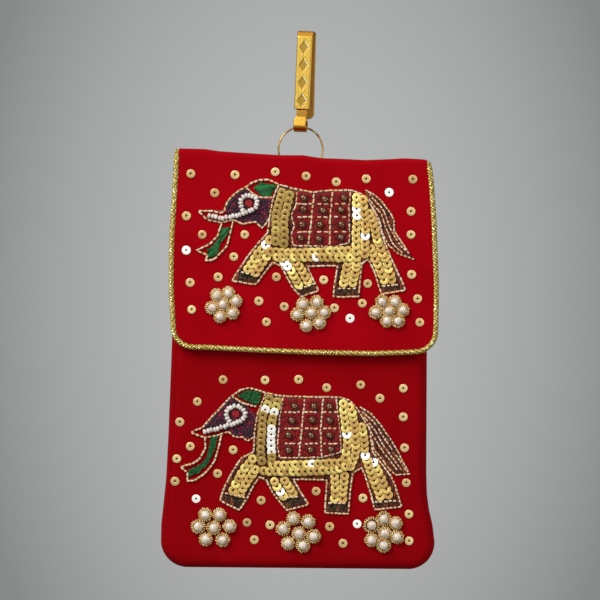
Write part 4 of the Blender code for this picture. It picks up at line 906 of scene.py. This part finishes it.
# The tail's strands, the first and the last along its two edges.
UPPER["strands"] = [
    [
        (29.0, 22.6), (32.6, 21.0), (36.4, 17.8), (40.0, 12.9), (42.2, 8.9), (42.0, 4.5), (46.4, -1.9),
        (48.9, -6.1),
    ],
    [(30.6, 21.0), (33.8, 17.8), (37.6, 13.3), (39.8, 6.9), (43.6, -0.3), (47.3, -4.7)],
    [(30.6, 19.0), (33.0, 15.8), (36.4, 11.9), (38.4, 5.7), (41.6, -1.5), (46.0, -5.7)],
    [(31.2, 17.0), (33.4, 13.6), (35.6, 8.9), (36.8, 3.5), (39.8, -2.3), (43.8, -5.7), (51.3, -8.4)],
]
LOWER["strands"] = [
    [(31.3, 15.0), (36.5, 11.9), (40.6, 7.1), (47.5, -3.2), (53.4, -14.9)],
    [(32.4, 13.0), (37.8, 8.1), (43.7, -1.1), (48.9, -8.5), (52.3, -13.9)],
    [(33.2, 10.8), (38.2, 4.3), (42.7, -3.5), (50.3, -13.7)],
    [(34.4, 7.8), (38.0, 0.9), (42.4, -5.9), (48.4, -13.7)],
    [(36.3, 2.3), (38.0, -4.4), (42.0, -9.4), (45.5, -14.1), (47.9, -15.9), (54.1, -15.3)],
]

# Rows of sequins, in the order they are sewn, so each covers part of the one before. With each row goes how
# pale it is, from 0 to 1, and how much its sequins differ.
UPPER["runs"] = [
    ([(41.1, -17.4), (38.6, -9.0), (35.0, -1.1)], 0.2, 0.2),
    ([(37.7, -17.6), (34.8, -10.8), (31.6, -3.3)], 0.3, 0.3),
    ([(23.5, -19.0), (25.2, -11.6), (25.4, -7.4)], 0.3, 0.25),
    ([(19.5, -19.0), (20.5, -14.0), (21.9, -7.2)], 0.3, 0.3),
    ([(3.4, -17.9), (0.0, -11.9), (-3.6, -7.8)], 0.2, 0.2),
    ([(-0.5, -19.9), (-4.9, -12.2), (-8.6, -7.6)], 0.6, 0.35),
    ([(-19.9, -14.2), (-16.4, -9.1), (-13.3, -4.8)], 0.25, 0.35),
    ([(-23.5, -12.6), (-18.3, -5.0), (-13.6, 0.4)], 0.55, 0.35),
    ([(34.4, 0.3), (33.2, 6.5), (31.2, 12.3)], 0.2, 0.2),
    ([(29.0, -5.8), (29.4, 5.3), (28.6, 12.5), (28.4, 18.2)], 0.1, 0.3),
    ([(25.2, -4.7), (25.2, 19.6)], 0.7, 0.3),
    ([(-10.3, -7.4), (-7.8, -7.3), (22.5, -7.6)], 0.4, 0.4),
    ([(-13.3, -4.8), (-5.2, -5.4), (21.3, -4.5)], 0.4, 0.4),
    ([(-4.8, 20.3), (-5.7, 15.3), (-7.0, 11.0), (-7.2, -1.6)], 0.25, 0.14),
    ([(-7.9, 21.6), (-9.5, 17.0), (-10.9, 11.3), (-10.9, -0.4)], 0.25, 0.14),
]
LOWER["runs"] = [
    ([(44.4, -24.6), (41.0, -17.0), (37.5, -10.1)], 0.2, 0.2),
    ([(40.6, -25.3), (36.5, -14.9), (33.8, -6.7)], 0.3, 0.3),
    ([(23.6, -26.5), (24.5, -16.0)], 0.2, 0.2),
    ([(20.0, -26.5), (20.6, -23.7), (20.0, -16.3)], 0.3, 0.3),
    ([(1.2, -24.1), (-0.5, -21.1), (-2.5, -18.0)], 0.3, 0.3),
    ([(-2.9, -25.4), (-4.6, -22.8), (-7.0, -18.7)], 0.4, 0.4),
    ([(-22.5, -24.0), (-18.9, -18.2), (-15.6, -13.2)], 0.25, 0.25),
    ([(-25.7, -22.5), (-21.5, -14.2), (-16.7, -8.4)], 0.3, 0.3),
    ([(33.5, -3.6), (33.4, -0.5), (32.4, 6.1)], 0.2, 0.2),
    ([(27.2, -11.8), (29.9, -5.0), (29.5, 0.9), (28.9, 8.5), (26.9, 15.0)], 0.3, 0.3),
    ([(24.8, -8.0), (26.0, -0.1), (25.0, 5.7), (24.1, 16.4)], 0.4, 0.3),
    ([(-11.8, -13.9), (2.0, -14.3), (19.6, -13.6), (27.6, -11.1)], 0.35, 0.35),
    ([(-7.7, -11.4), (10.0, -10.8), (22.7, -10.2)], 0.35, 0.35),
    ([(-5.6, 17.4), (-8.1, 8.8), (-8.6, 0.2), (-7.9, -10.1)], 0.25, 0.2),
    ([(-9.1, 18.5), (-12.2, 11.2), (-12.9, 1.5), (-13.2, -4.0), (-12.7, -9.4)], 0.15, 0.15),
]

# Sequins painted white and made to glow, as painted flashes of reflected light, on the elephants and among
# the single ones.
UPPER["flashes"] = [
    (-14.9, -1.4), (25.2, 13.0), (25.2, 10.3), (28.9, 2.4), (7.5, -7.4), (-7.6, -9.0), (-5.6, -11.2),
]
LOWER["flashes"] = [
    (-9.1, 5.8), (-8.8, 3.0), (-8.6, 0.2), (-8.3, -2.6), (-8.0, -5.4), (-7.3, 12.0), (-11.6, 13.0),
    (10.0, -10.8), (-4.6, -22.8), (33.8, -6.7), (37.5, -10.1), (25.4, 3.0),
]
FLASHING_SINGLES = {
    "upper": [(39.9, 21.6), (-51.0, -4.3), (22.4, -34.9)],
    "lower": [(-42.3, -26.6), (30.3, -38.0)],
}

# Gold wire outlines: fine coiled wire cut in short pieces and couched end to end over a dark red-brown thread
# that shows in the gaps and at their sides.
# The thread is laid wider than the wire, so it is also a painted shadow along each outline.
WIRE_RADIUS = 0.46
COIL_PITCH = 0.42
PIECE_GAP = 0.36
SIDES = {
    "upper": {"drawing": UPPER, "middle": (-0.25, -93.07), "face": flap_face, "body": "flap", "cut": 1.9},
    "lower": {"drawing": LOWER, "middle": (-4.8, -183.07), "face": front_face, "body": "pouch", "cut": 1.45},
}


def lie(flat, height, side):
    """Drawn points laid on the cloth of one side, at a height in front of it."""
    x = flat[..., 0] + side["middle"][0]
    z = flat[..., 1] + side["middle"][1]
    return np.stack([x, side["face"](x, z) - height + 0 * x, z], -1)


def laid_pieces(lines, length, gap, steps, random, sway=0.0):
    """Short pieces along several lines, each turned and shifted a little: a piece lies half way between
    its line and the straight run between its shifted ends."""
    found = []
    for line in lines:
        line = walked(line, 0.4)
        spans = pieces_along(line, length, gap)
        spans = spans + random.normal(0, 0.1, (len(spans), 1)) + random.normal(0, 0.12, spans.shape)
        found.append(runs_on(line, spans, steps))
    pieces = np.concatenate(found)
    ends = pieces[:, [0, -1]] + random.normal(0, sway, (len(pieces), 2, 2))
    share = np.linspace(0, 1, steps)[:, None]
    straight = ends[:, :1] * (1 - share) + ends[:, 1:] * share
    return 0.5 * straight + 0.5 * pieces


def closed_line(points):
    """The points with the first one again at the end."""
    return points + points[:1]


def coiled_finish(name, metallic, glow, groove, dark, light, share):
    """Coiled wire: a groove once every coil, as a sine of the distance along the wire. The groove's colour is
    a painted shade that takes a share of the wire's own, and with glow the wire emits its own colour, a
    painted glow."""
    finish = Finish(name, {"Metallic": metallic, "Emission Strength": glow})
    turns = (finish.layer("along") * (2 * math.pi / COIL_PITCH)).math("SINE") * 0.5 + 0.5
    tone = finish.mix(finish.layer("tone"), dark, light)
    wound = finish.mix(turns * share + (1 - share), groove, tone)
    finish.paint(Base_Color=wound, Roughness=0.34 - turns * 0.1)
    if glow:
        finish.paint(Emission_Color=wound)
    finish.emboss(turns, 0.16, 0.8)
    return finish


def cut_ends(radius, count, random):
    """The radius along each short piece of wire: thinner at its cut ends, and no two pieces alike."""
    taper = np.array([0.62, 0.93, 1, 1, 1, 0.93, 0.62])
    return radius * taper * random.uniform(0.88, 1.08, (count, 1))


# The first colour is a painted shade in the coil grooves; this wire also glows, a painted glow.
wire_shades = [shade(176, 104, 52), shade(248, 200, 144), shade(255, 246, 216)]
wire = coiled_finish("coiled_gold_wire", 0.4, 0.14, *wire_shades, 0.5)
dark_thread = Finish("dark_thread", {"Roughness": 0.7})
fibre = dark_thread.noise(0.5, 3.0)
brown = dark_thread.mix(dark_thread.between(fibre, 0.3, 0.7), shade(84, 18, 8), shade(146, 76, 30))
dark_thread.paint(Base_Color=brown)
dark_thread.emboss(fibre, 0.1, 0.7)


def make_wire(name, lines, side, node, length, gap=PIECE_GAP, radius=WIRE_RADIUS, seed=1):
    """Couched wire along drawn lines, with its thread beneath, which also serves as a painted shadow along
    the wire.
    """
    random = np.random.default_rng(seed)
    flat = laid_pieces(lines, length, gap, 7, random, 0.15)
    reach = cut_ends(radius, len(flat), random)
    along = np.linspace(0, length, 7) + random.uniform(0, 1, (len(flat), 1))
    piece = make_rods(
        name, lie(flat, radius + 0.25, side), reach, 8, wire, side["body"],
        along=along, tone=random.uniform(0, 1, len(flat)),
    )
    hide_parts(*node)
    beneath = laid_pieces(lines, 5.0, -0.4, 7, random, 0.12)
    make_rods(name + "_thread", lie(beneath, 0.22, side), radius * 1.25, 6, dark_thread, side["body"])


for label, side in SIDES.items():
    drawing = side["drawing"]
    blanket = drawing["blanket"][: drawing["hem_corners"]]
    blanket = [(blanket[0][0], blanket[0][1] + 1.2), *blanket, (blanket[-1][0], blanket[-1][1] + 1.4)]
    lines = [closed_line(drawing["body"]), blanket]
    lines += [drawing[run] for run in ("forehead", "crown_line", "jaw", "tusk", "trunk")]
    make_wire(f"{label}_outline_wire", lines, side, [f"{label}_gold_outline"], side["cut"], seed=3)
    strands = drawing["strands"]
    make_wire(f"{label}_tail_wire", strands, side, [f"{label}_tail"], 1.4, 0.34, 0.4, seed=5)

# Stitched fields: head, crown, trunk, blanket, cuffs, eye and the ground beneath the sequins, all sewn in
# glossy thread. The stitches lie side by side across a drawn outline and dip into the cloth at their ends.


def hatched(outline, degrees, pitch, length, random):
    """Stitches that fill an outline: level lines across it, turned by an angle, are cut where they cross it,
    and each run is broken into stitches of about a length."""
    turn = np.radians(degrees)
    tilt = np.array([[math.cos(turn), math.sin(turn)], [-math.sin(turn), math.cos(turn)]])
    first = np.asarray(outline, float) @ tilt.T
    second = np.roll(first, -1, 0)
    found = []
    for level in np.arange(first[:, 1].min() + pitch / 2, first[:, 1].max(), pitch):
        crossing = (first[:, 1] > level) != (second[:, 1] > level)
        a, b = first[crossing], second[crossing]
        ends = np.sort(a[:, 0] + (level - a[:, 1]) * (b[:, 0] - a[:, 0]) / (b[:, 1] - a[:, 1])).reshape(-1, 2)
        for start, stop in ends[ends[:, 1] - ends[:, 0] > 0.5]:
            cuts = np.linspace(start, stop, max(int(round((stop - start) / length)), 1) + 1)
            cuts[1:-1] += random.normal(0, 0.25 * length, len(cuts) - 2)
            cuts = np.sort(cuts)
            height = np.full(len(cuts) - 1, level)
            found.append(np.stack([cuts[:-1], height, cuts[1:], height], -1))
    return np.concatenate(found).reshape(-1, 2, 2) @ tilt


def shrunk(outline, share):
    """An outline drawn in towards its middle."""
    points = np.asarray(outline, float)
    middle = (points.max(0) + points.min(0)) / 2
    return middle + (points - middle) * share


def make_stitches(name, outline, side, finish, degrees, pitch, length, radius, lift=0.1, seed=1, node=()):
    """A field of stitches, each a short rod that dips into the cloth at its ends."""
    random = np.random.default_rng(seed)
    ends = hatched(outline, degrees, pitch, length, random) + random.normal(0, 0.12 * pitch, (1, 1, 2))
    share = np.linspace(0, 1, 5)[:, None]
    flat = ends[:, :1] * (1 - share) + ends[:, 1:] * share
    arch = lift + radius * (0.3 + 0.9 * np.sin(share[:, 0] * math.pi) ** 0.5)
    arch = arch + random.normal(0, 0.06, (len(flat), 1))
    points = lie(flat, 0.0, side)
    points[..., 1] -= arch
    reach = radius * np.array([0.75, 1, 1, 1, 0.75]) * random.uniform(0.85, 1.1, (len(flat), 1))
    piece = make_rods(name, points, reach, 6, finish, side["body"], tone=random.uniform(0, 1, len(flat)))
    if node:
        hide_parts(*node)
    return piece


def thread_finish(name, dark, middle, light, roughness, metallic=0.0):
    """Glossy embroidery thread in three tones, with fine fibres."""
    finish = Finish(name, {"Metallic": metallic})
    tone = finish.layer("tone")
    fibre = finish.noise(0.3, 3.0)
    low = finish.mix(finish.between(tone, 0.0, 0.55), dark, middle)
    finish.paint(
        Base_Color=finish.mix(finish.between(tone + fibre * 0.3, 0.75, 1.15), low, light),
        Roughness=roughness + fibre * 0.15,
    )
    finish.emboss(fibre, 0.06, 0.7)
    return finish


ground = thread_finish("ground_thread", shade(56, 10, 4), shade(96, 28, 10), shade(140, 66, 24), 0.6)
purple = thread_finish("purple_thread", shade(26, 6, 34), shade(62, 4, 34), shade(150, 6, 44), 0.45)
green = thread_finish("green_thread", shade(0, 44, 12), shade(0, 90, 34), shade(6, 122, 48), 0.5)
olive = thread_finish("olive_thread", shade(18, 12, 4), shade(44, 36, 10), shade(96, 88, 30), 0.4, 0.3)
maroon = thread_finish("maroon_thread", shade(104, 0, 3), shade(134, 1, 7), shade(156, 2, 11), 0.8)
eye_thread = thread_finish("eye_thread", shade(120, 0, 8), shade(176, 4, 18), shade(206, 30, 30), 0.5)

for label, side in SIDES.items():
    drawing = side["drawing"]
    start = drawing["forehead"].index(drawing["crown_line"][0])
    neck = drawing["body"][-2:][::-1]
    head = drawing["forehead"][:start] + drawing["crown_line"][:-1] + neck + drawing["jaw"][::-1]
    tail = drawing["strands"][0] + drawing["strands"][-1][::-1]
    length, step = (6.0, 0.5) if label == "upper" else (0.9, 0.62)
    make_stitches(f"{label}_ground", drawing["body"], side, ground, 80, 0.9, 4.0, 0.5, 0.0, 7)
    make_stitches(
        f"{label}_head_stitches", shrunk(head, 0.95), side, purple, -38, 0.62, 1.5, 0.42, 0.1, 11,
        [f"{label}_head"],
    )
    make_stitches(f"{label}_tail_ground", tail, side, ground, -55, 0.8, 4.0, 0.45, 0.0, 9)
    for number, (field, degrees) in enumerate((("crown", 9), ("trunk", 52))):
        make_stitches(
            f"{label}_{field}_stitches", drawing[field + "_field"], side, green, degrees, step, length, 0.36,
            0.15, 13 + number, [f"{label}_{field}"],
        )
    field = shrunk(drawing["blanket"], 0.98)
    make_stitches(
        f"{label}_blanket_stitches", field, side, maroon, 88, 0.5, 3.0, 0.36, 0.5, 19, [f"{label}_blanket"],
    )
    for number, hoof in enumerate(drawing["hooves"], 1):
        across = np.degrees(math.atan2(hoof[1][1] - hoof[0][1], hoof[1][0] - hoof[0][0]))
        make_stitches(
            f"{label}_hoof_{number}_stitches", hoof, side, olive, across, 0.55, 2.2, 0.4, 0.25, 20 + number,
            [f"{label}_hoof_{number}"],
        )
    grid = list(drawing["columns"])
    across = [x for x, z in drawing["blanket"]]
    low, span = min(across), max(across) - min(across)
    for height in drawing["rows"]:
        for first, last in ((0.10, 0.36), (0.42, 0.64), (0.70, 0.95)):
            grid.append([(low + span * first, height), (low + span * last, height)])
    side["grid"] = grid

# Blanket grid and the wire across each hoof: the outlines' coiled gold wire in short pieces, couched on top
# of the stitched blanket and of the stitched cuffs.
for label, side in SIDES.items():
    cuffs = [[hoof[0], hoof[1]] for hoof in side["drawing"]["hooves"]]
    laid = (("grid", side["grid"], 1.15, side["cut"]), ("cuff", cuffs, 1.75, 1.4))
    for name, lines, height, length in laid:
        random = np.random.default_rng(31)
        flat = laid_pieces(lines, length, PIECE_GAP, 7, random, 0.2)
        reach = cut_ends(WIRE_RADIUS, len(flat), random)
        make_rods(
            f"{label}_{name}_wire", lie(flat, height, side), reach, 8, wire, side["body"],
            along=np.linspace(0, length, 7) + 0 * reach, tone=random.uniform(0, 1, len(flat)),
        )

# Beads: a string of white glass beads along the tusk and round the eye, and dark glass beads sewn one by
# one in the blanket's grid, each with a few gold specks on its front.
BEAD_PITCH = 1.52

def make_beads(name, centres, axis, half_length, radius, finish, body, rings=9, sides=12, **layers):
    """Round beads: circles whose size follows a half circle are carried along each bead's own axis."""
    turn = np.radians(np.linspace(14, 166, rings))
    axis = np.broadcast_to(axis, (len(centres), 2))
    flat = axis[:, None] * (-np.cos(turn)[:, None] * half_length)
    paths = centres[:, None] + np.stack([flat[..., 0], 0 * flat[..., 0], flat[..., 1]], -1)
    return make_rods(name, paths, radius * np.sin(turn), sides, finish, body, **layers)


glass = Finish("dark_glass", {"Roughness": 0.08, "IOR": 1.5, "Coat Weight": 0.6, "Coat Roughness": 0.05})
glass.paint(Base_Color=glass.mix(glass.noise(1.0), shade(36, 10, 4), shade(98, 40, 18)))
milk = Finish("milk_glass", {"Roughness": 0.28, "Coat Weight": 0.3, "Subsurface Weight": 0.1})
milk.paint(Base_Color=milk.mix(milk.layer("tone"), shade(214, 196, 184), shade(244, 234, 222)))
milk.emboss(milk.noise(0.8), 0.05, 0.4)
pearl = Finish("pearl", {"Roughness": 0.22, "Coat Weight": 0.7, "Coat Roughness": 0.12})
bloom = pearl.between(pearl.noise(1.6, 2.0), 0.35, 0.65)
pearl.paint(Base_Color=pearl.mix(bloom, shade(204, 182, 160), shade(240, 226, 208)))
speck = Finish("gold_speck", {"Metallic": 0.9, "Roughness": 0.3})
speck.paint(Base_Color=speck.mix(speck.noise(0.6), shade(196, 124, 44), shade(250, 206, 130)))

for label, side in SIDES.items():
    drawing = side["drawing"]
    random = np.random.default_rng(41)
    ring_end = np.array(drawing["white_beads"][-1]) + (0.9, -1.7)
    string = walked(drawing["white_beads"] + [tuple(ring_end)], BEAD_PITCH)
    axis = np.gradient(string, axis=0)
    axis /= np.linalg.norm(axis, axis=1, keepdims=True)
    string = string + random.normal(0, 0.14, string.shape)
    beads = make_beads(
        f"{label}_bead_string", lie(string, 1.75, side), axis, 0.84, 1.2, milk, side["body"],
        tone=random.uniform(0, 1, len(string)),
    )
    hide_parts(f"{label}_white_beads")
    glassy = np.array(drawing["glass_beads"])
    make_beads(f"{label}_glass_beads", lie(glassy, 1.4, side), (0.6, 0.8), 1.75, 2.0, glass, side["body"])
    hoop = 0.62 * arc((0.1, 0.1), 1.0, 10, 300, 5)
    glint = (glassy[:, None] + hoop + random.normal(0, 0.12, (len(glassy), 5, 2))).reshape(-1, 2)
    make_beads(
        f"{label}_glass_glints", lie(glint, 3.2, side), (0.8, -0.6), 0.32, 0.22, speck, side["body"], 5, 6,
    )
    centre = np.array(drawing["eye"])
    disc = centre + 1.7 * arc((0, 0), 1.0, 0, 360, 15)[:-1]
    make_stitches(
        f"{label}_eye_stitches", disc, side, eye_thread, 20, 0.5, 1.2, 0.42, 0.8, 43, [f"{label}_eye"]
    )

# Flowers: seven pearls each, one in the middle and six round it, sewn one by one. Each pearl stands in its
# own ring of short gold coils, which lie over a bed of dark thread.
PEARL_RADIUS = {"upper": 1.95, "lower": 2.15}
OPEN_LOOP = [(36.8, -38.5)]
OPEN_LOOP_RADIUS = 3.1
# The first colour is a painted shade in the coil grooves of the rings.
ring_shades = [shade(166, 100, 38), shade(232, 172, 88), shade(255, 240, 180)]
ring_gold = coiled_finish("gold_ring_wire", 0.35, 0.0, *ring_shades, 0.35)


def near_any(points, spots, reach):
    """1 for the points that lie near one of some spots, else 0."""
    far = np.linalg.norm(points[:, None] - np.array(spots)[None], axis=-1)
    return (far.min(1) < reach).astype(float)


for label, side in SIDES.items():
    random = np.random.default_rng(51)
    flowers = {name: pearls for name, pearls in FLOWERS.items() if name.startswith(label)}
    centres = []
    for name, pearls in flowers.items():
        middle = np.array(pearls[0])
        centres += [middle] + [middle + outer for outer in np.array(pearls[1:])]
    centres = np.array(centres)
    around = arc((0, 0), 1.0, 0, 360, 20)[:-1]
    size = PEARL_RADIUS[label]
    wide = (size + 0.4) * random.uniform(0.96, 1.08, len(centres))
    wide = np.where(near_any(centres, OPEN_LOOP, 1.0) * (label == "lower"), OPEN_LOOP_RADIUS, wide)
    ring = centres[:, None] + wide[:, None, None] * around * random.uniform(0.95, 1.06, (len(centres), 19, 1))
    spots = ring.reshape(-1, 2)
    lean = np.tile(around, (len(centres), 1)) + random.normal(0, 0.35, spots.shape)
    lean /= np.linalg.norm(lean, axis=1, keepdims=True)
    share = np.linspace(-0.6, 0.6, 5)[:, None]
    flat = spots[:, None] + lean[:, None] * share
    height = 0.5 + 0.7 * (1 - np.linspace(-1, 1, 5) ** 2) + random.uniform(0, 0.4, (len(spots), 1))
    points = lie(flat, 0.0, side)
    points[..., 1] -= height
    make_rods(
        f"{label}_pearl_rings", points, 0.36, 7, ring_gold, side["body"],
        along=np.linspace(0, 1.6, 5) + 0 * height, tone=random.uniform(0, 1, len(spots)),
    )
    make_rods(f"{label}_pearl_beds", lie(ring, 0.3, side), 0.62, 6, dark_thread, side["body"], closed=True)
    pearls = make_beads(
        f"{label}_pearls", lie(centres, 1.75, side), (0.3, 0.95), size, size, pearl, side["body"]
    )
    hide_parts(*flowers)

# Sequins: thin cupped discs of lacquered foil, each sewn down through its hole with a dark knot. In the rows
# each is tilted over the last one, and the single ones have a red thread over their upper edge.
SEQUIN_RADIUS = 2.12
SEQUIN_STEP = 2.62


def make_sequins(name, centres, slopes, finish, body, radius, **layers):
    """Cupped discs: a flat closed loop (distance out, height) is turned round each centre; the slopes say
    how much deeper the disc lies for each millimetre across and up."""
    out = np.array([1.0, 0.92, 0.32, 0.24, 0.24, 0.92])
    lift = np.array([0.0, 0.07, 0.04, 0.0, -0.04, -0.03])
    sides = 12
    angle = np.arange(sides) * 2 * math.pi / sides
    a = out[:, None] * np.cos(angle)
    b = out[:, None] * np.sin(angle)
    radius = np.broadcast_to(radius, len(centres))[:, None, None]
    x = radius * a
    z = radius * b
    y = -lift[:, None] + slopes[:, 0, None, None] * x + slopes[:, 1, None, None] * z
    points = centres[:, None, None] + np.stack([x, y, z], -1)
    one = grid_faces(len(out), sides, True, True)[:, ::-1]
    faces = (np.arange(len(centres))[:, None, None] * len(out) * sides + one).reshape(-1, 4)
    spread = {layer: np.repeat(values, len(out) * sides) for layer, values in layers.items()}
    # The rim layer marks each disc's outer ring, which the foil paints lighter as a painted highlight.
    spread["rim"] = np.tile(np.repeat(out > 0.9, sides), len(centres))
    return make_piece(name, leaned(points), [faces], finish, body, **spread)


def foil_finish(name, dark, light):
    """Lacquered foil: satin metal, a little cloudy. The palest discs are painted white and glow, a painted
    flash of reflected light, and each disc's rim is painted lighter, a painted highlight.
    """
    foil = Finish(name, {"Metallic": 0.65, "Emission Strength": 0.3})
    pale = foil.layer("pale")
    cloud = foil.noise(1.4, 2.0)
    gold = foil.mix(foil.between(pale + cloud * 0.2, 0.05, 0.85), dark, light)
    # Each disc's rim is painted lighter: a painted highlight.
    rimmed = foil.mix(foil.layer("rim") * 0.35, gold, light)
    foil.paint(
        # Discs at the top tone are painted white and emit light: a painted flash.
        Base_Color=foil.mix(foil.between(pale, 0.85, 1.0), rimmed, shade(255, 252, 240)),
        Roughness=0.34 + cloud * 0.12,
        Emission_Color=foil.mix(foil.between(pale, 0.85, 1.0), shade(0, 0, 0), shade(255, 252, 244)),
    )
    foil.emboss(foil.noise(0.5, 2.0), 0.02, 0.5)
    return foil


foil = foil_finish("gold_sequin", shade(196, 142, 76), shade(255, 230, 132))
knot_thread = Finish("knot_thread", {"Roughness": 0.8})
knot_thread.paint(Base_Color=knot_thread.mix(knot_thread.noise(0.4), shade(40, 14, 4), shade(74, 34, 10)))
rose_foil = foil_finish("rose_gold_sequin", shade(214, 160, 98), shade(255, 224, 160))


for label, side in SIDES.items():
    drawing = side["drawing"]
    random = np.random.default_rng(61)
    spots, ways, tones, lifts = [], [], [], []
    for number, (line, pale_level, spread) in enumerate(drawing["runs"]):
        row = walked(line, SEQUIN_STEP)
        way = np.gradient(row, axis=0)
        spots.append(row + random.normal(0, 0.1, row.shape))
        ways.append(way / np.linalg.norm(way, axis=1, keepdims=True))
        level = 0.65 * pale_level + 0.9 * spread * random.uniform(-1, 1, len(row))
        level = np.where(random.uniform(0, 1, len(row)) < 0.5 * (spread - 0.1), 0.8, level)
        tones.append(np.clip(level, 0, 0.8))
        lifts.append(np.full(len(row), 1.15 + 0.05 * number) + 0.12 * (number % 2))
    spots = np.concatenate(spots)
    # Sequins near the listed spots get the top tone: painted white and glowing, a painted flash.
    tones = np.maximum(np.concatenate(tones), near_any(spots, drawing["flashes"], 1.4))
    slopes = np.concatenate(ways) * 0.23 + random.normal(0, 0.05, spots.shape)
    points = lie(spots, 0.0, side)
    points[:, 1] -= np.concatenate(lifts)
    reach = SEQUIN_RADIUS * random.uniform(0.96, 1.03, len(spots))
    rows = make_sequins(f"{label}_sequin_rows", points, slopes, foil, side["body"], reach, pale=tones)
    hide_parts(f"{label}_sequin_body")
    single = np.array(SINGLES[label])
    tones = np.clip(0.45 + 0.4 * random.uniform(-1, 1, len(single)), 0, 0.8)
    tones = np.maximum(tones, near_any(single, FLASHING_SINGLES[label], 1.0))
    slopes = random.normal(0, 0.04, single.shape)
    reach = SEQUIN_RADIUS * random.uniform(0.93, 0.99, len(single))
    make_sequins(
        f"{label}_single_sequins", lie(single, 0.3, side), slopes, rose_foil, side["body"], reach, pale=tones,
    )
    holes = np.concatenate([spots, single])
    knots = lie(holes, 0.0, side)
    knots[: len(spots), 1] = points[:, 1]
    knots[len(spots):, 1] -= 0.22
    make_beads(f"{label}_sequin_knots", knots, (1.0, 0.0), 0.4, 0.4, knot_thread, side["body"], 5, 6)
    tick = single[:, None] + np.array([(0, 1.8), (0.02, 2.2), (0.05, 2.5), (0.08, 2.8), (0.1, 3.1)])[None]
    tick = tick + random.normal(0, 0.14, (len(single), 1, 2)) * np.linspace(0, 1, 5)[:, None]
    points = lie(tick, 0.0, side)
    points[..., 1] -= np.array([0.1, 0.3, 0.35, 0.25, -0.05])
    make_rods(f"{label}_sequin_ties", points, 0.08, 5, thread, side["body"])


# Stage: a plain grey backdrop that curves into a floor; it glows with its own painted light, a pool brightest
# behind the pouch.
# A large soft light comes from above left, a weaker one from the right, and the camera is square on.
CAMERA_AT = (-1.75, -1890.0, -120.7)
WALL_Y = 2600.0
GLOW_SHARE = 175.0 / 2150.0
GLOW_SQUEEZE = 0.62
GLOW_Z = -120.0
glow_reach = GLOW_SHARE * (WALL_Y - CAMERA_AT[1])
paper = Finish("backdrop_paper", {"Roughness": 0.9, "Specular IOR Level": 0.0, "Emission Strength": 1.0})
glow = paper.place((1 / glow_reach, 0, GLOW_SQUEEZE / glow_reach))
glow_centre = (0, 0, GLOW_Z * GLOW_SQUEEZE / glow_reach)
away = paper.add("VectorMath", {"operation": "SUBTRACT"}, {0: glow, 1: glow_centre})
reach = paper.add("VectorMath", {"operation": "LENGTH"}, {0: away}, "Value")
falloff = (reach * reach).math("MINIMUM", 1.15)
grey = paper.mix(falloff, shade(182, 184, 183), shade(132, 135, 134))
paper.paint(Base_Color=shade(40, 40, 40), Emission_Color=grey)


def make_stage():
    """A wall that curves into a floor: a line from the side carried across."""
    side = np.concatenate([[(WALL_Y, 3000)], arc((WALL_Y - 300, -500), 300, 0, -90, 24), [(-3000, -800)]])
    x = np.array([-3000, 3000.0])
    points = np.stack(np.broadcast_arrays(x[None, :], side[:, :1], side[:, 1:]), -1)
    return make_piece("backdrop", points, [grid_faces(*points.shape[:2])[:, ::-1]], paper)


make_stage()


def soft_light(name, place, size, power, aim=(0, 0, -120)):
    """A square soft light at a place, aimed at the pouch."""
    data = bpy.data.lights.new(name, "AREA")
    data.size = size
    data.energy = power
    light = bpy.data.objects.new(name, data)
    bpy.context.scene.collection.objects.link(light)
    place, aim = Vector(place) * MM, Vector(aim) * MM
    light.location = place
    light.rotation_euler = (aim - place).to_track_quat("-Z", "Y").to_euler()


soft_light("key_light", (-700, -900, 700), 0.7, 16)
soft_light("fill_light", (900, -1100, 100), 0.9, 3.5)
world = bpy.data.worlds.new("studio")
bpy.context.scene.world = world
world.use_nodes = True
world.node_tree.nodes["Background"].inputs["Color"].default_value = (1, 1, 1, 1)
world.node_tree.nodes["Background"].inputs["Strength"].default_value = 0.5

lens = bpy.data.cameras.new("camera")
lens.sensor_width = 36
lens.lens = 250.9
lens.clip_end = 20
camera = bpy.data.objects.new("camera", lens)
bpy.context.scene.collection.objects.link(camera)
camera.location = tuple(np.array(CAMERA_AT) * MM)
camera.rotation_euler = (math.pi / 2, 0, 0)
bpy.context.scene.camera = camera
bpy.context.scene.view_settings.view_transform = "Standard"
